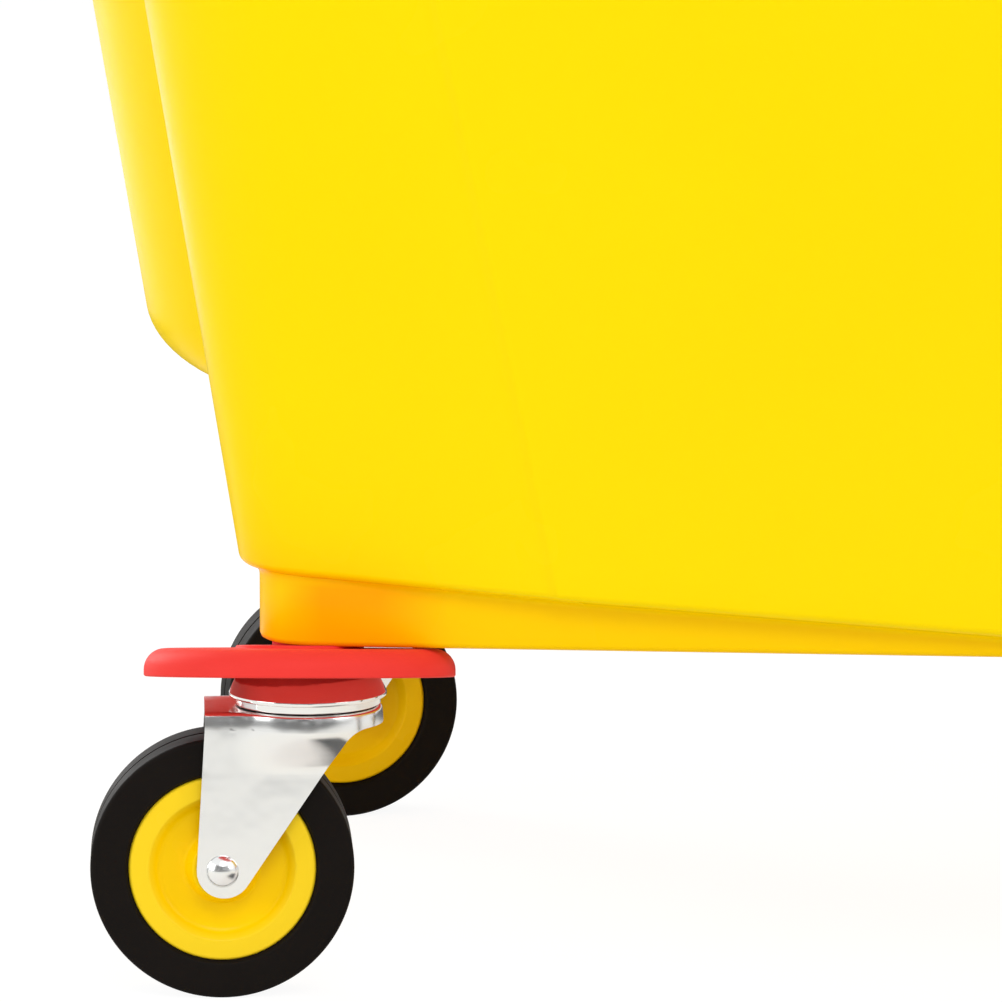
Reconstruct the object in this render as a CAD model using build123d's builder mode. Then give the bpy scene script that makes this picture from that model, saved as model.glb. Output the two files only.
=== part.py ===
from build123d import *
import os
from math import atan2, cos, pi, radians, sin, sqrt, tan

# Mop bucket with a geared side-press wringer, on four swivel casters.
# Millimetres. +Z is up, +X points to the wringer end, -Y is the front long side.
# The origin is on the floor, under the middle of the overall length and width.

# Fits between pieces
RUN_CLEAR = 0.05
SEAT_CLEAR = 0.05
BODY_CLEAR = 0.3

# Wheel and tyre
WHEEL_D = 75.0
TYRE_W = 23.0
TYRE_SHOULDER = 3.0
HUB_D = 53.4
HUB_W = 21.6
HUB_RIM_W = 6.0
HUB_DISH_DEPTH = 3.0
HUB_DISH_TAPER = 35.0
HUB_BOSS_D = 21.2
BUSH_D = 11.0
AXLE_D = 6.0
AXLE_HEAD_D = 9.7
AXLE_HEAD_H = 3.2
AXLE_HEAD_EDGE = 0.6
AXLE_END = 1.0
AXLE_NUT_AF = 10.0
AXLE_NUT_H = 5.0

# Caster fork and swivel head
TRAIL = 24.6
FORK_GAP = 25.2
FORK_SHEET = 2.5
FORK_RISE = 45.5
FORK_FOOT_D = 15.6
FORK_FOOT_X = 0.5
FORK_BACK_TOP = 4.8
FORK_LEG_ANGLE = 56.0
FORK_LIP = 4.9
CROWN_D = 43.0
KINGPIN_D = 10.0
RIVET_D = 16.0
RIVET_H = 3.0
RACE_D = 40.4
RACE_RING_H = 2.7
RACE_CUP_D = 45.0
RACE_CUP_TAPER = 24.0
RACE_H = 11.5
BALL_D = 3.0
BALL_COUNT = 12
BALL_CIRCLE_D = 31.0
STEM_D = 11.0
STEM_LENGTH = 34.0
SLEEVE_WALL = 1.5

# Bumper disc round the cup of the race, tipped up at the outer long side, with a boss over it
BUMPER_D = 88.6
BUMPER_LIFT = 8.0
BUMPER_T = 8.0
BUMPER_ROUND = 6.0
BUMPER_TIP = 9.0
BUMPER_OUT = 2.0
BUMPER_BOSS_D = 20.0
BUMPER_BOSS_H = 2.7

# Caster places, and how far each one has swivelled from straight
STEM_X = 200.0
STEM_Y = 138.0
SWIVEL = {"front_left": 8.3, "rear_left": 14.6, "front_right": -6.0, "rear_right": 11.0}

# Tub
WALL = 3.5
FLOOR_T = 5.0
PLINTH_HALF_L = 214.0
PLINTH_HALF_W = 153.0
PLINTH_CORNER = 19.0
STEP_HEIGHT = 21.6
STEP_MID_HEIGHT = 6.5
STEP_HALF_L = 219.8
STEP_HALF_W = 162.0
TUB_HEIGHT = 293.3
RIM_HALF_L = 265.4
RIM_HALF_W = 196.0
CORNER_LOW = 24.0
CORNER_HIGH = 70.0
CREASE_INSET_LOW = 92.8
CREASE_INSET_HIGH = 87.0
CREASE_SWEEP = 4.5
RIM_OVERHANG = 11.0
RIM_T = 4.0
RIM_LIP_H = 16.0
RIM_LIP_T = 3.0
SOCKET_BOSS_D = 22.0
SOCKET_BOSS_TOP = 6.0
PAD_L = 280.0
PAD_W = 170.0
PAD_T = 1.5

# Pouring spout in the end wall
SPOUT_REACH = 35.5
SPOUT_HALF_W_LOW = 58.0
SPOUT_HALF_W_HIGH = 84.0
SPOUT_BOTTOM = 59.0
SPOUT_ROUND = 19.0
SPOUT_ROOT = 30.0

# Wringer housing
HOUSING_INNER_X = 40.0
HOUSING_OUTER_X = 234.0
HOUSING_HALF_W = 150.0
HOUSING_WALL = 4.0
HOUSING_DEPTH = 123.0
HOUSING_CORNER = 50.0
HOUSING_END_RISE = 45.0
SILL_HEIGHT = 56.0
CHEEK_BOSS_D = 56.0
CHEEK_ROUND = 20.0
CHEEK_STEP_ROUND = 5.5
FLANGE_T = 5.0
FLANGE_MARGIN = 3.0
FLANGE_CORNER = 12.0
SIDE_FLANGE_X = (96.0, 190.0)
END_FLANGE_HALF_W = 96.0
DRAIN_SLOT = (36.0, 9.0)
DRAIN_PITCH = (46.0, 24.0)
DRAIN_COUNT = (4, 9)

# Perforated plates
PLATE_T = 8.0
PLATE_LENGTH = 138.0
PLATE_SIDE_GAP = 8.0
PLATE_LEAN = 20.0
PERF_D = 11.0
PERF_ROW_PITCH = 23.0
PERF_ROWS = 5
PERF_COLUMNS = 10
PERF_MARGIN = 11.0
FIXED_T = 4.0
FIXED_STANDOFF = 4.0
FIXED_SIDE_GAP = 2.0
FIXED_COLUMNS = 8
FIXED_MARGIN = 2.0
FIXED_TOP_MARGIN = 6.0
SCREW_D = 5.0
SCREW_HEAD_D = 10.0
SCREW_HEAD_H = 3.0
SCREW_INSET_Y = 10.0
SCREW_INSET_Z = 9.0

# Press plate hinge and gear pair
HINGE_X = 172.0
HINGE_ABOVE_FLOOR = 24.0
HINGE_PIN_D = 10.0
HINGE_HEAD_D = 16.0
HINGE_HEAD_T = 3.0
BARREL_D = 20.0
GEAR_MODULE = 5.0
PINION_TEETH = 17
QUADRANT_TEETH = 47
PINION_CUT_TEETH = 7
QUADRANT_CUT_TEETH = 7
PINION_LEAD_TEETH = 2
QUADRANT_LEAD_TEETH = 1
PRESSURE_ANGLE = 20.0
ADDENDUM = 4.5
DEDENDUM = 6.0
BACKLASH = 0.5
GEAR_LINE_ANGLE = 36.87
PINION_W = 10.0
QUADRANT_W = 8.0
PINION_HUB_D = 34.0
QUADRANT_RIM = 14.0
QUADRANT_FOOT = 40.0
GEAR_SIDE_GAP = 13.0

# Lever
SHAFT_D = 18.0
SHAFT_BUSH_WALL = 4.0
SHAFT_BUSH_FLANGE = 3.0
SHAFT_BUSH_FLANGE_T = 2.0
SHAFT_BUSH_INNER = 4.0
SHAFT_CHAMFER = 1.0
LEVER_LEAN = 12.0
LEVER_HUB_D = 40.0
LEVER_HUB_W = 30.0
LEVER_SOCKET_D = 30.0
LEVER_SOCKET_LENGTH = 78.0
LEVER_TUBE_D = 24.0
LEVER_TUBE_WALL = 2.0
LEVER_TUBE_START = 24.0
LEVER_TUBE_LENGTH = 452.0
GRIP_D = 33.0
GRIP_LENGTH = 125.0
GRIP_CAP = 6.0
GRIP_FOOT_ROUND = 3.0
GRIP_GROOVES = 9
GRIP_GROOVE_START = 18.0
GRIP_GROOVE_PITCH = 10.0
GRIP_GROOVE_W = 3.0
GRIP_GROOVE_DEPTH = 1.2
LEVER_BOLT_D = 6.0
LEVER_BOLT_HEAD_D = 11.0
LEVER_BOLT_HEAD_H = 4.0
LEVER_BOLT_SHORT = 1.0
LEVER_BOLT_SPOTS = (40.0, 64.0)
END_COLLAR_D = 32.0
END_COLLAR_W = 9.0

# Heights that follow from the stack of pieces
AXLE_Z = WHEEL_D / 2
CROWN_Z = AXLE_Z + FORK_RISE
RACE_Z = CROWN_Z + RACE_H
BUMPER_Z = CROWN_Z + BUMPER_LIFT
BASE_Z = BUMPER_Z + BUMPER_T + BUMPER_BOSS_H
STEP_Z = BASE_Z + STEP_HEIGHT
RIM_Z = BASE_Z + TUB_HEIGHT
HOUSING_Z = RIM_Z - HOUSING_DEPTH
HINGE_Z = HOUSING_Z + HINGE_ABOVE_FLOOR
TUB_X = SPOUT_REACH / 2

# Widths that follow from the housing
PLATE_HALF_W = HOUSING_HALF_W - HOUSING_WALL - PLATE_SIDE_GAP
FIXED_HALF_W = HOUSING_HALF_W - HOUSING_CORNER - FIXED_SIDE_GAP
GEAR_Y = HOUSING_HALF_W - HOUSING_WALL - SHAFT_BUSH_INNER - GEAR_SIDE_GAP - PINION_W / 2
PERF_SPAN = 2 * (GEAR_Y - QUADRANT_W / 2 - PERF_MARGIN) - PERF_D
FIXED_SPAN = 2 * (FIXED_HALF_W - 2 * SCREW_INSET_Y - FIXED_MARGIN) - PERF_D

# Gear pair
PINION_R = GEAR_MODULE * PINION_TEETH / 2
QUADRANT_R = GEAR_MODULE * QUADRANT_TEETH / 2
GEAR_CENTRES = PINION_R + QUADRANT_R
SHAFT_X = HINGE_X - GEAR_CENTRES * sin(radians(GEAR_LINE_ANGLE))
SHAFT_Z = HINGE_Z + GEAR_CENTRES * cos(radians(GEAR_LINE_ANGLE))

os.makedirs("parts", exist_ok=True)


def save(builder, name):
    builder.part.label = name
    export_step(builder.part, f"parts/{name}.step")


def level(z):
    # Horizontal plane over the middle of the tub
    return Plane((TUB_X, 0, z))


def upright(y):
    # Upright plane along the tub: local x runs to the wringer end, local y runs up
    return Plane((TUB_X, y, 0), x_dir=(1, 0, 0), z_dir=(0, -1, 0))


def lever_plane(y):
    # Upright plane on the lever shaft: local y runs up along the lever at rest
    lean = radians(LEVER_LEAN)
    return Plane((TUB_X + SHAFT_X, y, SHAFT_Z), x_dir=(cos(lean), 0, -sin(lean)), z_dir=(0, -1, 0))


def plate_plane(y):
    # Upright plane on the plate hinge: local y runs up along the press plate at rest
    lean = radians(PLATE_LEAN)
    return Plane((TUB_X + HINGE_X, y, HINGE_Z), x_dir=(cos(lean), 0, sin(lean)), z_dir=(0, -1, 0))


def caster_axes(side):
    # The stem's place and the swivel direction, which points from the wheel to the stem
    turn = radians(SWIVEL[side])
    x = TUB_X + (STEM_X if side.endswith("right") else -STEM_X)
    y = STEM_Y if side.startswith("rear") else -STEM_Y
    return x, y, cos(turn), sin(turn)


def caster_level(side, z):
    x, y, along, over = caster_axes(side)
    return Plane((x, y, z), x_dir=(along, over, 0))


def bumper_plane(side):
    # The disc's underside, a little outside the stem and tipped up at the outer long side
    x, y, along, over = caster_axes(side)
    out_x = 1 if side.endswith("right") else -1
    out_y = 1 if side.startswith("rear") else -1
    tip = radians(BUMPER_TIP)
    middle = (x + out_x * BUMPER_OUT, y + out_y * BUMPER_OUT, BUMPER_Z)
    return Plane(middle, x_dir=(1, 0, 0), z_dir=(0, -out_y * sin(tip), cos(tip)))


def wheel_plane(side, out):
    # Upright plane on the axle, out millimetres from the wheel's middle towards the head of the bolt
    x, y, along, over = caster_axes(side)
    origin = (x - TRAIL * along + out * over, y - TRAIL * over - out * along, AXLE_Z)
    return Plane(origin, x_dir=(along, over, 0), z_dir=(over, -along, 0))


# Tub


def wall_size(z):
    # The wall leans out at a steady rate, and its corners open with it
    rise = (z - STEP_Z) / (RIM_Z - STEP_Z)
    half_length = STEP_HALF_L + rise * (RIM_HALF_L - STEP_HALF_L)
    half_width = STEP_HALF_W + rise * (RIM_HALF_W - STEP_HALF_W)
    corner = CORNER_LOW + rise * (CORNER_HIGH - CORNER_LOW)
    crease_inset = CREASE_INSET_LOW + rise * (CREASE_INSET_HIGH - CREASE_INSET_LOW)
    return half_length, half_width, corner, crease_inset


def wall_outline(z, inset=0.0):
    # Flat end, round corner, a panel swept back a little, a soft crease and the flat front
    half_length, half_width, corner, crease_inset = wall_size(z)
    sweep = radians(CREASE_SWEEP)
    crease_x = half_length - crease_inset
    half_length -= inset
    half_width -= inset
    radius = max(corner - inset, WALL)
    tip_y = half_width - (half_length - crease_x) * tan(sweep)
    reach = radius * tan((pi / 2 - sweep) / 2)
    with BuildSketch() as outline:
        with BuildLine():
            end = Line((half_length, 0), (half_length, tip_y - reach))
            swept = (half_length - reach * cos(sweep), tip_y + reach * sin(sweep))
            corner_arc = TangentArc(end @ 1, swept, tangent=end % 1)
            Polyline(corner_arc @ 1, (crease_x, half_width), (0, half_width))
            mirror(about=Plane.YZ)
            mirror(about=Plane.XZ)
        make_face()
    return outline.sketch


def spout_outline(z, inset=0.0):
    # A shallow arc that bulges from the end wall
    half_length = wall_size(z)[0]
    rise = (z - BASE_Z - SPOUT_BOTTOM) / (TUB_HEIGHT - SPOUT_BOTTOM)
    half_w = SPOUT_HALF_W_LOW + rise * (SPOUT_HALF_W_HIGH - SPOUT_HALF_W_LOW) - inset
    tip = half_length + SPOUT_REACH - inset
    root = half_length - SPOUT_ROOT
    with BuildSketch() as outline:
        with BuildLine():
            ThreePointArc((-half_length, half_w), (-tip, 0), (-half_length, -half_w))
            Polyline((-half_length, -half_w), (-root, -half_w), (-root, half_w), (-half_length, half_w))
        make_face()
    return outline.sketch


def rim_outline(grow):
    with BuildSketch() as outline:
        add(wall_outline(RIM_Z))
        add(spout_outline(RIM_Z))
        offset(amount=grow, kind=Kind.ARC)
    return outline.sketch


def placed(outline, z):
    return Pos(TUB_X, 0, z) * outline


def wall_loft(low, high, inset=0.0):
    return [placed(wall_outline(z, inset), z) for z in (low, high)]


def spout_loft(low, high, inset=0.0):
    return [placed(spout_outline(z, inset), z) for z in (low, high)]


def make_tub():
    over = 2 * WALL
    step_slope = (STEP_HEIGHT - STEP_MID_HEIGHT) / STEP_HALF_L
    far_x = RIM_HALF_L + SPOUT_REACH
    far_y = RIM_HALF_W + RIM_OVERHANG
    far_z = BASE_Z + STEP_MID_HEIGHT + step_slope * far_x
    with BuildPart() as undercut:
        with BuildSketch(upright(far_y)):
            with BuildLine():
                Polyline(
                    (-far_x, BASE_Z - over),
                    (-far_x, far_z),
                    (0, BASE_Z + STEP_MID_HEIGHT),
                    (far_x, far_z),
                    (far_x, BASE_Z - over),
                    close=True,
                )
            make_face()
        extrude(amount=2 * far_y)
        with BuildSketch(level(BASE_Z - over)):
            RectangleRounded(2 * PLINTH_HALF_L, 2 * PLINTH_HALF_W, PLINTH_CORNER)
        extrude(amount=far_z - BASE_Z + 2 * over, mode=Mode.SUBTRACT)

    with BuildPart() as cavity:
        loft(sections=spout_loft(BASE_Z + SPOUT_BOTTOM + WALL, RIM_Z + over, WALL), ruled=True)
        low_edges = cavity.edges().group_by(Axis.Z)[0].sort_by(Axis.X)
        fillet(low_edges[0], SPOUT_ROUND - WALL)
        inner_corner = PLINTH_CORNER - WALL
        with BuildSketch(level(BASE_Z + FLOOR_T)):
            RectangleRounded(2 * (PLINTH_HALF_L - WALL), 2 * (PLINTH_HALF_W - WALL), inner_corner)
        extrude(amount=STEP_HEIGHT + WALL)
        loft(sections=wall_loft(STEP_Z + WALL, RIM_Z + over, WALL), ruled=True)

    with BuildPart() as tub:
        loft(sections=spout_loft(BASE_Z + SPOUT_BOTTOM, RIM_Z), ruled=True)
        low_edges = tub.edges().group_by(Axis.Z)[0].sort_by(Axis.X)
        fillet(low_edges[0], SPOUT_ROUND)
        loft(sections=wall_loft(BASE_Z, RIM_Z), ruled=True)
        add(undercut.part, mode=Mode.SUBTRACT)
        extrude(placed(rim_outline(RIM_OVERHANG), RIM_Z), amount=-RIM_T)
        add(cavity.part, mode=Mode.SUBTRACT)
        lip = rim_outline(RIM_OVERHANG) - rim_outline(RIM_OVERHANG - RIM_LIP_T)
        extrude(placed(lip, RIM_Z), amount=-RIM_LIP_H)
        with BuildSketch(level(BASE_Z)):
            with GridLocations(2 * STEM_X, 2 * STEM_Y, 2, 2):
                Circle(SOCKET_BOSS_D / 2)
        extrude(amount=STEM_LENGTH + SOCKET_BOSS_TOP)
        with BuildSketch(level(BASE_Z)):
            with GridLocations(2 * STEM_X, 2 * STEM_Y, 2, 2):
                Circle(STEM_D / 2 + SLEEVE_WALL + SEAT_CLEAR)
        extrude(amount=STEM_LENGTH, mode=Mode.SUBTRACT)
        with BuildSketch(level(BASE_Z)):
            Rectangle(PAD_L, PAD_W)
        extrude(amount=-PAD_T)
    save(tub, "bucket_tub")


def make_stem_sleeves():
    with BuildPart() as sleeves:
        with BuildSketch(level(BASE_Z)):
            with GridLocations(2 * STEM_X, 2 * STEM_Y, 2, 2):
                Circle(STEM_D / 2 + SLEEVE_WALL)
                Circle(STEM_D / 2 + SEAT_CLEAR, mode=Mode.SUBTRACT)
        extrude(amount=STEM_LENGTH)
    save(sleeves, "stem_sleeves")


# Casters


def make_bumper(side):
    with BuildPart() as bumper:
        with BuildSketch(bumper_plane(side)):
            Circle(BUMPER_D / 2)
        extrude(amount=BUMPER_T)
        fillet(bumper.edges().group_by(Axis.Z)[-1], BUMPER_ROUND)
        with BuildSketch(caster_level(side, BASE_Z)):
            Circle(BUMPER_BOSS_D / 2)
        extrude(amount=-(BUMPER_BOSS_H + BUMPER_T / 2))
        with BuildSketch(caster_level(side, CROWN_Z + RACE_RING_H)):
            Circle(RACE_CUP_D / 2 + SEAT_CLEAR)
        extrude(amount=RACE_H - RACE_RING_H, taper=RACE_CUP_TAPER, mode=Mode.SUBTRACT)
        with BuildSketch(caster_level(side, RACE_Z)):
            Circle(STEM_D / 2 + SEAT_CLEAR)
        extrude(amount=BASE_Z - RACE_Z, mode=Mode.SUBTRACT)
    save(bumper, f"bumper_{side}")


def make_stem(side):
    # Push-in stem above the race, kingpin through the crown and a riveted head under it
    crown_under = CROWN_Z - FORK_SHEET
    with BuildPart() as stem:
        with BuildSketch(caster_level(side, RACE_Z)):
            Circle(STEM_D / 2)
        extrude(amount=BASE_Z - RACE_Z + STEM_LENGTH)
        chamfer(stem.edges().group_by(Axis.Z)[-1], SLEEVE_WALL)
        with BuildSketch(caster_level(side, crown_under - BODY_CLEAR)):
            Circle(KINGPIN_D / 2)
        extrude(amount=RACE_Z - crown_under + BODY_CLEAR)
        with BuildSketch(caster_level(side, crown_under - BODY_CLEAR)):
            Circle(RIVET_D / 2)
        extrude(amount=-RIVET_H)
        fillet(stem.edges().group_by(Axis.Z)[0], RIVET_H / 2)
    save(stem, f"caster_stem_{side}")


def make_race(side):
    # Upper race: a ring over the balls, clear of the turning crown below, under a tapered cup
    with BuildPart() as race:
        with BuildSketch(caster_level(side, CROWN_Z + BODY_CLEAR)):
            Circle(RACE_D / 2)
        extrude(amount=RACE_RING_H - BODY_CLEAR)
        with BuildSketch(caster_level(side, CROWN_Z + RACE_RING_H)):
            Circle(RACE_CUP_D / 2)
        extrude(amount=RACE_H - RACE_RING_H, taper=RACE_CUP_TAPER)
        with BuildSketch(caster_level(side, CROWN_Z)):
            Circle(KINGPIN_D / 2 + SEAT_CLEAR)
        extrude(amount=RACE_H, mode=Mode.SUBTRACT)
        with BuildSketch(caster_level(side, CROWN_Z)):
            Circle((BALL_CIRCLE_D + BALL_D) / 2 + SEAT_CLEAR)
            Circle((BALL_CIRCLE_D - BALL_D) / 2 - SEAT_CLEAR, mode=Mode.SUBTRACT)
        extrude(amount=BALL_D / 2 + SEAT_CLEAR, mode=Mode.SUBTRACT)
    save(race, f"swivel_race_{side}")


def make_balls(side):
    with BuildPart() as balls:
        with Locations(caster_level(side, CROWN_Z)):
            with PolarLocations(BALL_CIRCLE_D / 2, BALL_COUNT):
                Sphere(BALL_D / 2)
    save(balls, f"swivel_balls_{side}")


def make_fork(side):
    # Pressed steel: a round crown with a lip, and two legs that narrow down to the axle
    half_out = FORK_GAP / 2 + FORK_SHEET
    foot = FORK_FOOT_D / 2
    lean = radians(FORK_LEG_ANGLE)
    lip_y = FORK_RISE - FORK_LIP
    toe = (FORK_FOOT_X + foot * sin(lean), -foot * cos(lean))
    shoulder = (toe[0] + (lip_y - toe[1]) / tan(lean), lip_y)
    sole_angle = (lean - 3 * pi / 2) / 2
    sole = (FORK_FOOT_X + foot * cos(sole_angle), foot * sin(sole_angle))
    with BuildPart() as fork:
        with BuildSketch(wheel_plane(side, half_out)):
            with BuildLine():
                heel = Line((FORK_FOOT_X - foot, 0), (-FORK_BACK_TOP, FORK_RISE))
                Polyline(heel @ 1, (TRAIL, FORK_RISE), (TRAIL, lip_y), shoulder, toe)
                ThreePointArc(toe, sole, heel @ 0)
            make_face()
        extrude(amount=-2 * half_out)
        with BuildSketch(caster_level(side, CROWN_Z)):
            Circle(CROWN_D / 2)
        extrude(amount=-FORK_LIP)
        with BuildSketch(wheel_plane(side, FORK_GAP / 2)):
            with Locations((TRAIL, 0)):
                Rectangle(2 * CROWN_D + 2 * TRAIL, 2 * (FORK_RISE - FORK_SHEET))
        extrude(amount=-FORK_GAP, mode=Mode.SUBTRACT)
        with BuildSketch(caster_level(side, CROWN_Z)):
            Circle(KINGPIN_D / 2 + RUN_CLEAR)
        extrude(amount=-FORK_SHEET, mode=Mode.SUBTRACT)
        with BuildSketch(wheel_plane(side, half_out)):
            Circle(AXLE_D / 2 + SEAT_CLEAR)
        extrude(amount=-2 * half_out, mode=Mode.SUBTRACT)
        with BuildSketch(caster_level(side, CROWN_Z)):
            Circle((BALL_CIRCLE_D + BALL_D) / 2 + RUN_CLEAR)
            Circle((BALL_CIRCLE_D - BALL_D) / 2 - RUN_CLEAR, mode=Mode.SUBTRACT)
        extrude(amount=-(BALL_D / 2 + RUN_CLEAR), mode=Mode.SUBTRACT)
    save(fork, f"caster_fork_{side}")


def make_axle(side):
    # Domed bolt from the outer side, nut on the inner side
    half_out = FORK_GAP / 2 + FORK_SHEET
    outward = Axis(wheel_plane(side, 0).origin, wheel_plane(side, 0).z_dir)
    with BuildPart() as axle:
        with BuildSketch(wheel_plane(side, half_out)):
            Circle(AXLE_HEAD_D / 2)
        extrude(amount=AXLE_HEAD_H)
        fillet(axle.edges().sort_by(outward)[-1], AXLE_HEAD_H - AXLE_HEAD_EDGE)
        with BuildSketch(wheel_plane(side, half_out)):
            Circle(AXLE_D / 2)
        extrude(amount=-(2 * half_out + AXLE_NUT_H + AXLE_END))
        with BuildSketch(wheel_plane(side, -half_out)):
            RegularPolygon(AXLE_NUT_AF / 2, 6, major_radius=False)
        extrude(amount=-AXLE_NUT_H)
    save(axle, f"axle_bolt_{side}")


def make_bush(side):
    half = FORK_GAP / 2 - BODY_CLEAR
    with BuildPart() as bush:
        with BuildSketch(wheel_plane(side, half)):
            Circle(BUSH_D / 2)
            Circle(AXLE_D / 2 + RUN_CLEAR, mode=Mode.SUBTRACT)
        extrude(amount=-2 * half)
    save(bush, f"axle_bush_{side}")


def make_hub(side):
    # Moulded hub: raised rim, dished web with a sloping edge and a boss round the bush
    half = HUB_W / 2
    rim_r = HUB_D / 2
    boss_r = HUB_BOSS_D / 2
    boss_half = FORK_GAP / 2 - 2 * BODY_CLEAR
    with BuildPart() as hub:
        with BuildSketch(wheel_plane(side, half)):
            Circle(rim_r)
        extrude(amount=-HUB_W)
        for out, inward in ((half, -1), (-half, 1)):
            with BuildSketch(wheel_plane(side, out)):
                Circle(rim_r - HUB_RIM_W)
            extrude(amount=inward * HUB_DISH_DEPTH, taper=HUB_DISH_TAPER, mode=Mode.SUBTRACT)
        with BuildSketch(wheel_plane(side, boss_half)):
            Circle(boss_r)
        extrude(amount=-2 * boss_half)
        with BuildSketch(wheel_plane(side, boss_half)):
            Circle(BUSH_D / 2 + SEAT_CLEAR)
        extrude(amount=-2 * boss_half, mode=Mode.SUBTRACT)
    save(hub, f"wheel_hub_{side}")


def make_tyre(side):
    with BuildPart() as tyre:
        with BuildSketch(wheel_plane(side, TYRE_W / 2)):
            Circle(WHEEL_D / 2)
        extrude(amount=-TYRE_W)
        fillet(tyre.edges().filter_by(GeomType.CIRCLE), TYRE_SHOULDER)
        with BuildSketch(wheel_plane(side, TYRE_W / 2)):
            Circle(HUB_D / 2 + SEAT_CLEAR)
        extrude(amount=-TYRE_W, mode=Mode.SUBTRACT)
    save(tyre, f"tyre_{side}")


# Wringer


def housing_face(z, inset=0.0):
    # Square at the inner end, rounded to follow the tub at the outer end
    inner = HOUSING_INNER_X + inset
    outer = HOUSING_OUTER_X - inset
    half = HOUSING_HALF_W - inset
    radius = HOUSING_CORNER - inset
    with BuildSketch(level(z)) as face:
        with BuildLine():
            end = Line((outer, 0), (outer, half - radius))
            corner = TangentArc(end @ 1, (outer - radius, half), tangent=end % 1)
            Polyline(corner @ 1, (inner, half), (inner, 0))
            mirror(about=Plane.XZ)
        make_face()
    return face.sketch


def make_housing():
    floor_top = HOUSING_Z + HOUSING_WALL
    end_top = RIM_Z + HOUSING_END_RISE
    boss_r = CHEEK_BOSS_D / 2
    cheek_top = SHAFT_Z + boss_r
    flange_z = RIM_Z + BODY_CLEAR
    flange_length = SIDE_FLANGE_X[1] - SIDE_FLANGE_X[0]
    flange_middle = (SIDE_FLANGE_X[0] + SIDE_FLANGE_X[1]) / 2
    flange_half_w = RIM_HALF_W + RIM_OVERHANG - FLANGE_MARGIN
    end_reach = RIM_HALF_L + RIM_OVERHANG - FLANGE_MARGIN - HOUSING_OUTER_X
    with BuildPart() as housing:
        extrude(housing_face(HOUSING_Z), amount=cheek_top - HOUSING_Z)
        with BuildSketch(upright(HOUSING_HALF_W)) as side:
            with BuildLine():
                Polyline(
                    (HOUSING_INNER_X, HOUSING_Z),
                    (HOUSING_INNER_X, cheek_top),
                    (SHAFT_X + boss_r, cheek_top),
                    (SHAFT_X + boss_r, end_top),
                    (HOUSING_OUTER_X, end_top),
                    (HOUSING_OUTER_X, HOUSING_Z),
                    close=True,
                )
            make_face()
            fillet(side.vertices().sort_by_distance((HOUSING_INNER_X, cheek_top))[0], CHEEK_ROUND)
            for step_z in (cheek_top, end_top):
                corner = side.vertices().sort_by_distance((SHAFT_X + boss_r, step_z))[0]
                fillet(corner, CHEEK_STEP_ROUND)
        extrude(amount=2 * HOUSING_HALF_W, mode=Mode.INTERSECT)
        with BuildSketch(level(flange_z)):
            with Locations((flange_middle, 0)):
                RectangleRounded(flange_length, 2 * flange_half_w, FLANGE_CORNER)
            with Locations((HOUSING_OUTER_X - 2 * FLANGE_CORNER, 0)):
                RectangleRounded(
                    end_reach + 2 * FLANGE_CORNER,
                    2 * END_FLANGE_HALF_W,
                    FLANGE_CORNER,
                    align=(Align.MIN, Align.CENTER),
                )
        extrude(amount=FLANGE_T)
        extrude(housing_face(floor_top, HOUSING_WALL), amount=cheek_top - floor_top, mode=Mode.SUBTRACT)
        with BuildSketch(level(HOUSING_Z + SILL_HEIGHT)):
            with Locations((HOUSING_INNER_X, 0)):
                Rectangle(2 * HOUSING_WALL, 2 * (HOUSING_HALF_W - HOUSING_WALL))
        extrude(amount=cheek_top - HOUSING_Z, mode=Mode.SUBTRACT)
        with BuildSketch(level(floor_top)):
            with Locations((HOUSING_OUTER_X - HOUSING_WALL - FIXED_STANDOFF / 2, 0)):
                with GridLocations(FIXED_STANDOFF, 2 * (FIXED_HALF_W - SCREW_INSET_Y), 1, 2):
                    Rectangle(FIXED_STANDOFF, 2 * SCREW_INSET_Y)
        extrude(amount=end_top - FIXED_TOP_MARGIN - floor_top)
        with BuildSketch(fixed_plane()):
            with GridLocations(*screw_spacing(), 2, 2):
                Circle(SCREW_D / 2 + SEAT_CLEAR)
        extrude(amount=FIXED_STANDOFF, mode=Mode.SUBTRACT)
        with BuildSketch(level(HOUSING_Z)):
            with Locations(((HOUSING_INNER_X + HOUSING_OUTER_X) / 2, 0)):
                with GridLocations(*DRAIN_PITCH, *DRAIN_COUNT):
                    SlotOverall(*DRAIN_SLOT)
        extrude(amount=HOUSING_WALL, mode=Mode.SUBTRACT)
        with BuildSketch(upright(HOUSING_HALF_W)):
            with Locations((SHAFT_X, SHAFT_Z)):
                Circle(SHAFT_D / 2 + SHAFT_BUSH_WALL + SEAT_CLEAR)
            with Locations((HINGE_X, HINGE_Z)):
                Circle(HINGE_PIN_D / 2 + SEAT_CLEAR)
        extrude(amount=2 * HOUSING_HALF_W, mode=Mode.SUBTRACT)
    save(housing, "wringer_housing")


def fixed_span():
    bottom = HOUSING_Z + HOUSING_WALL
    top = RIM_Z + HOUSING_END_RISE - FIXED_TOP_MARGIN
    return bottom, top


def screw_spacing():
    bottom, top = fixed_span()
    return 2 * (FIXED_HALF_W - SCREW_INSET_Y), top - bottom - 2 * SCREW_INSET_Z


def fixed_plane():
    # The fixed plate's back face: local x runs along Y, local y runs up
    x = TUB_X + HOUSING_OUTER_X - HOUSING_WALL - FIXED_STANDOFF
    return Plane((x, 0, sum(fixed_span()) / 2), x_dir=(0, 1, 0), z_dir=(1, 0, 0))


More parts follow.
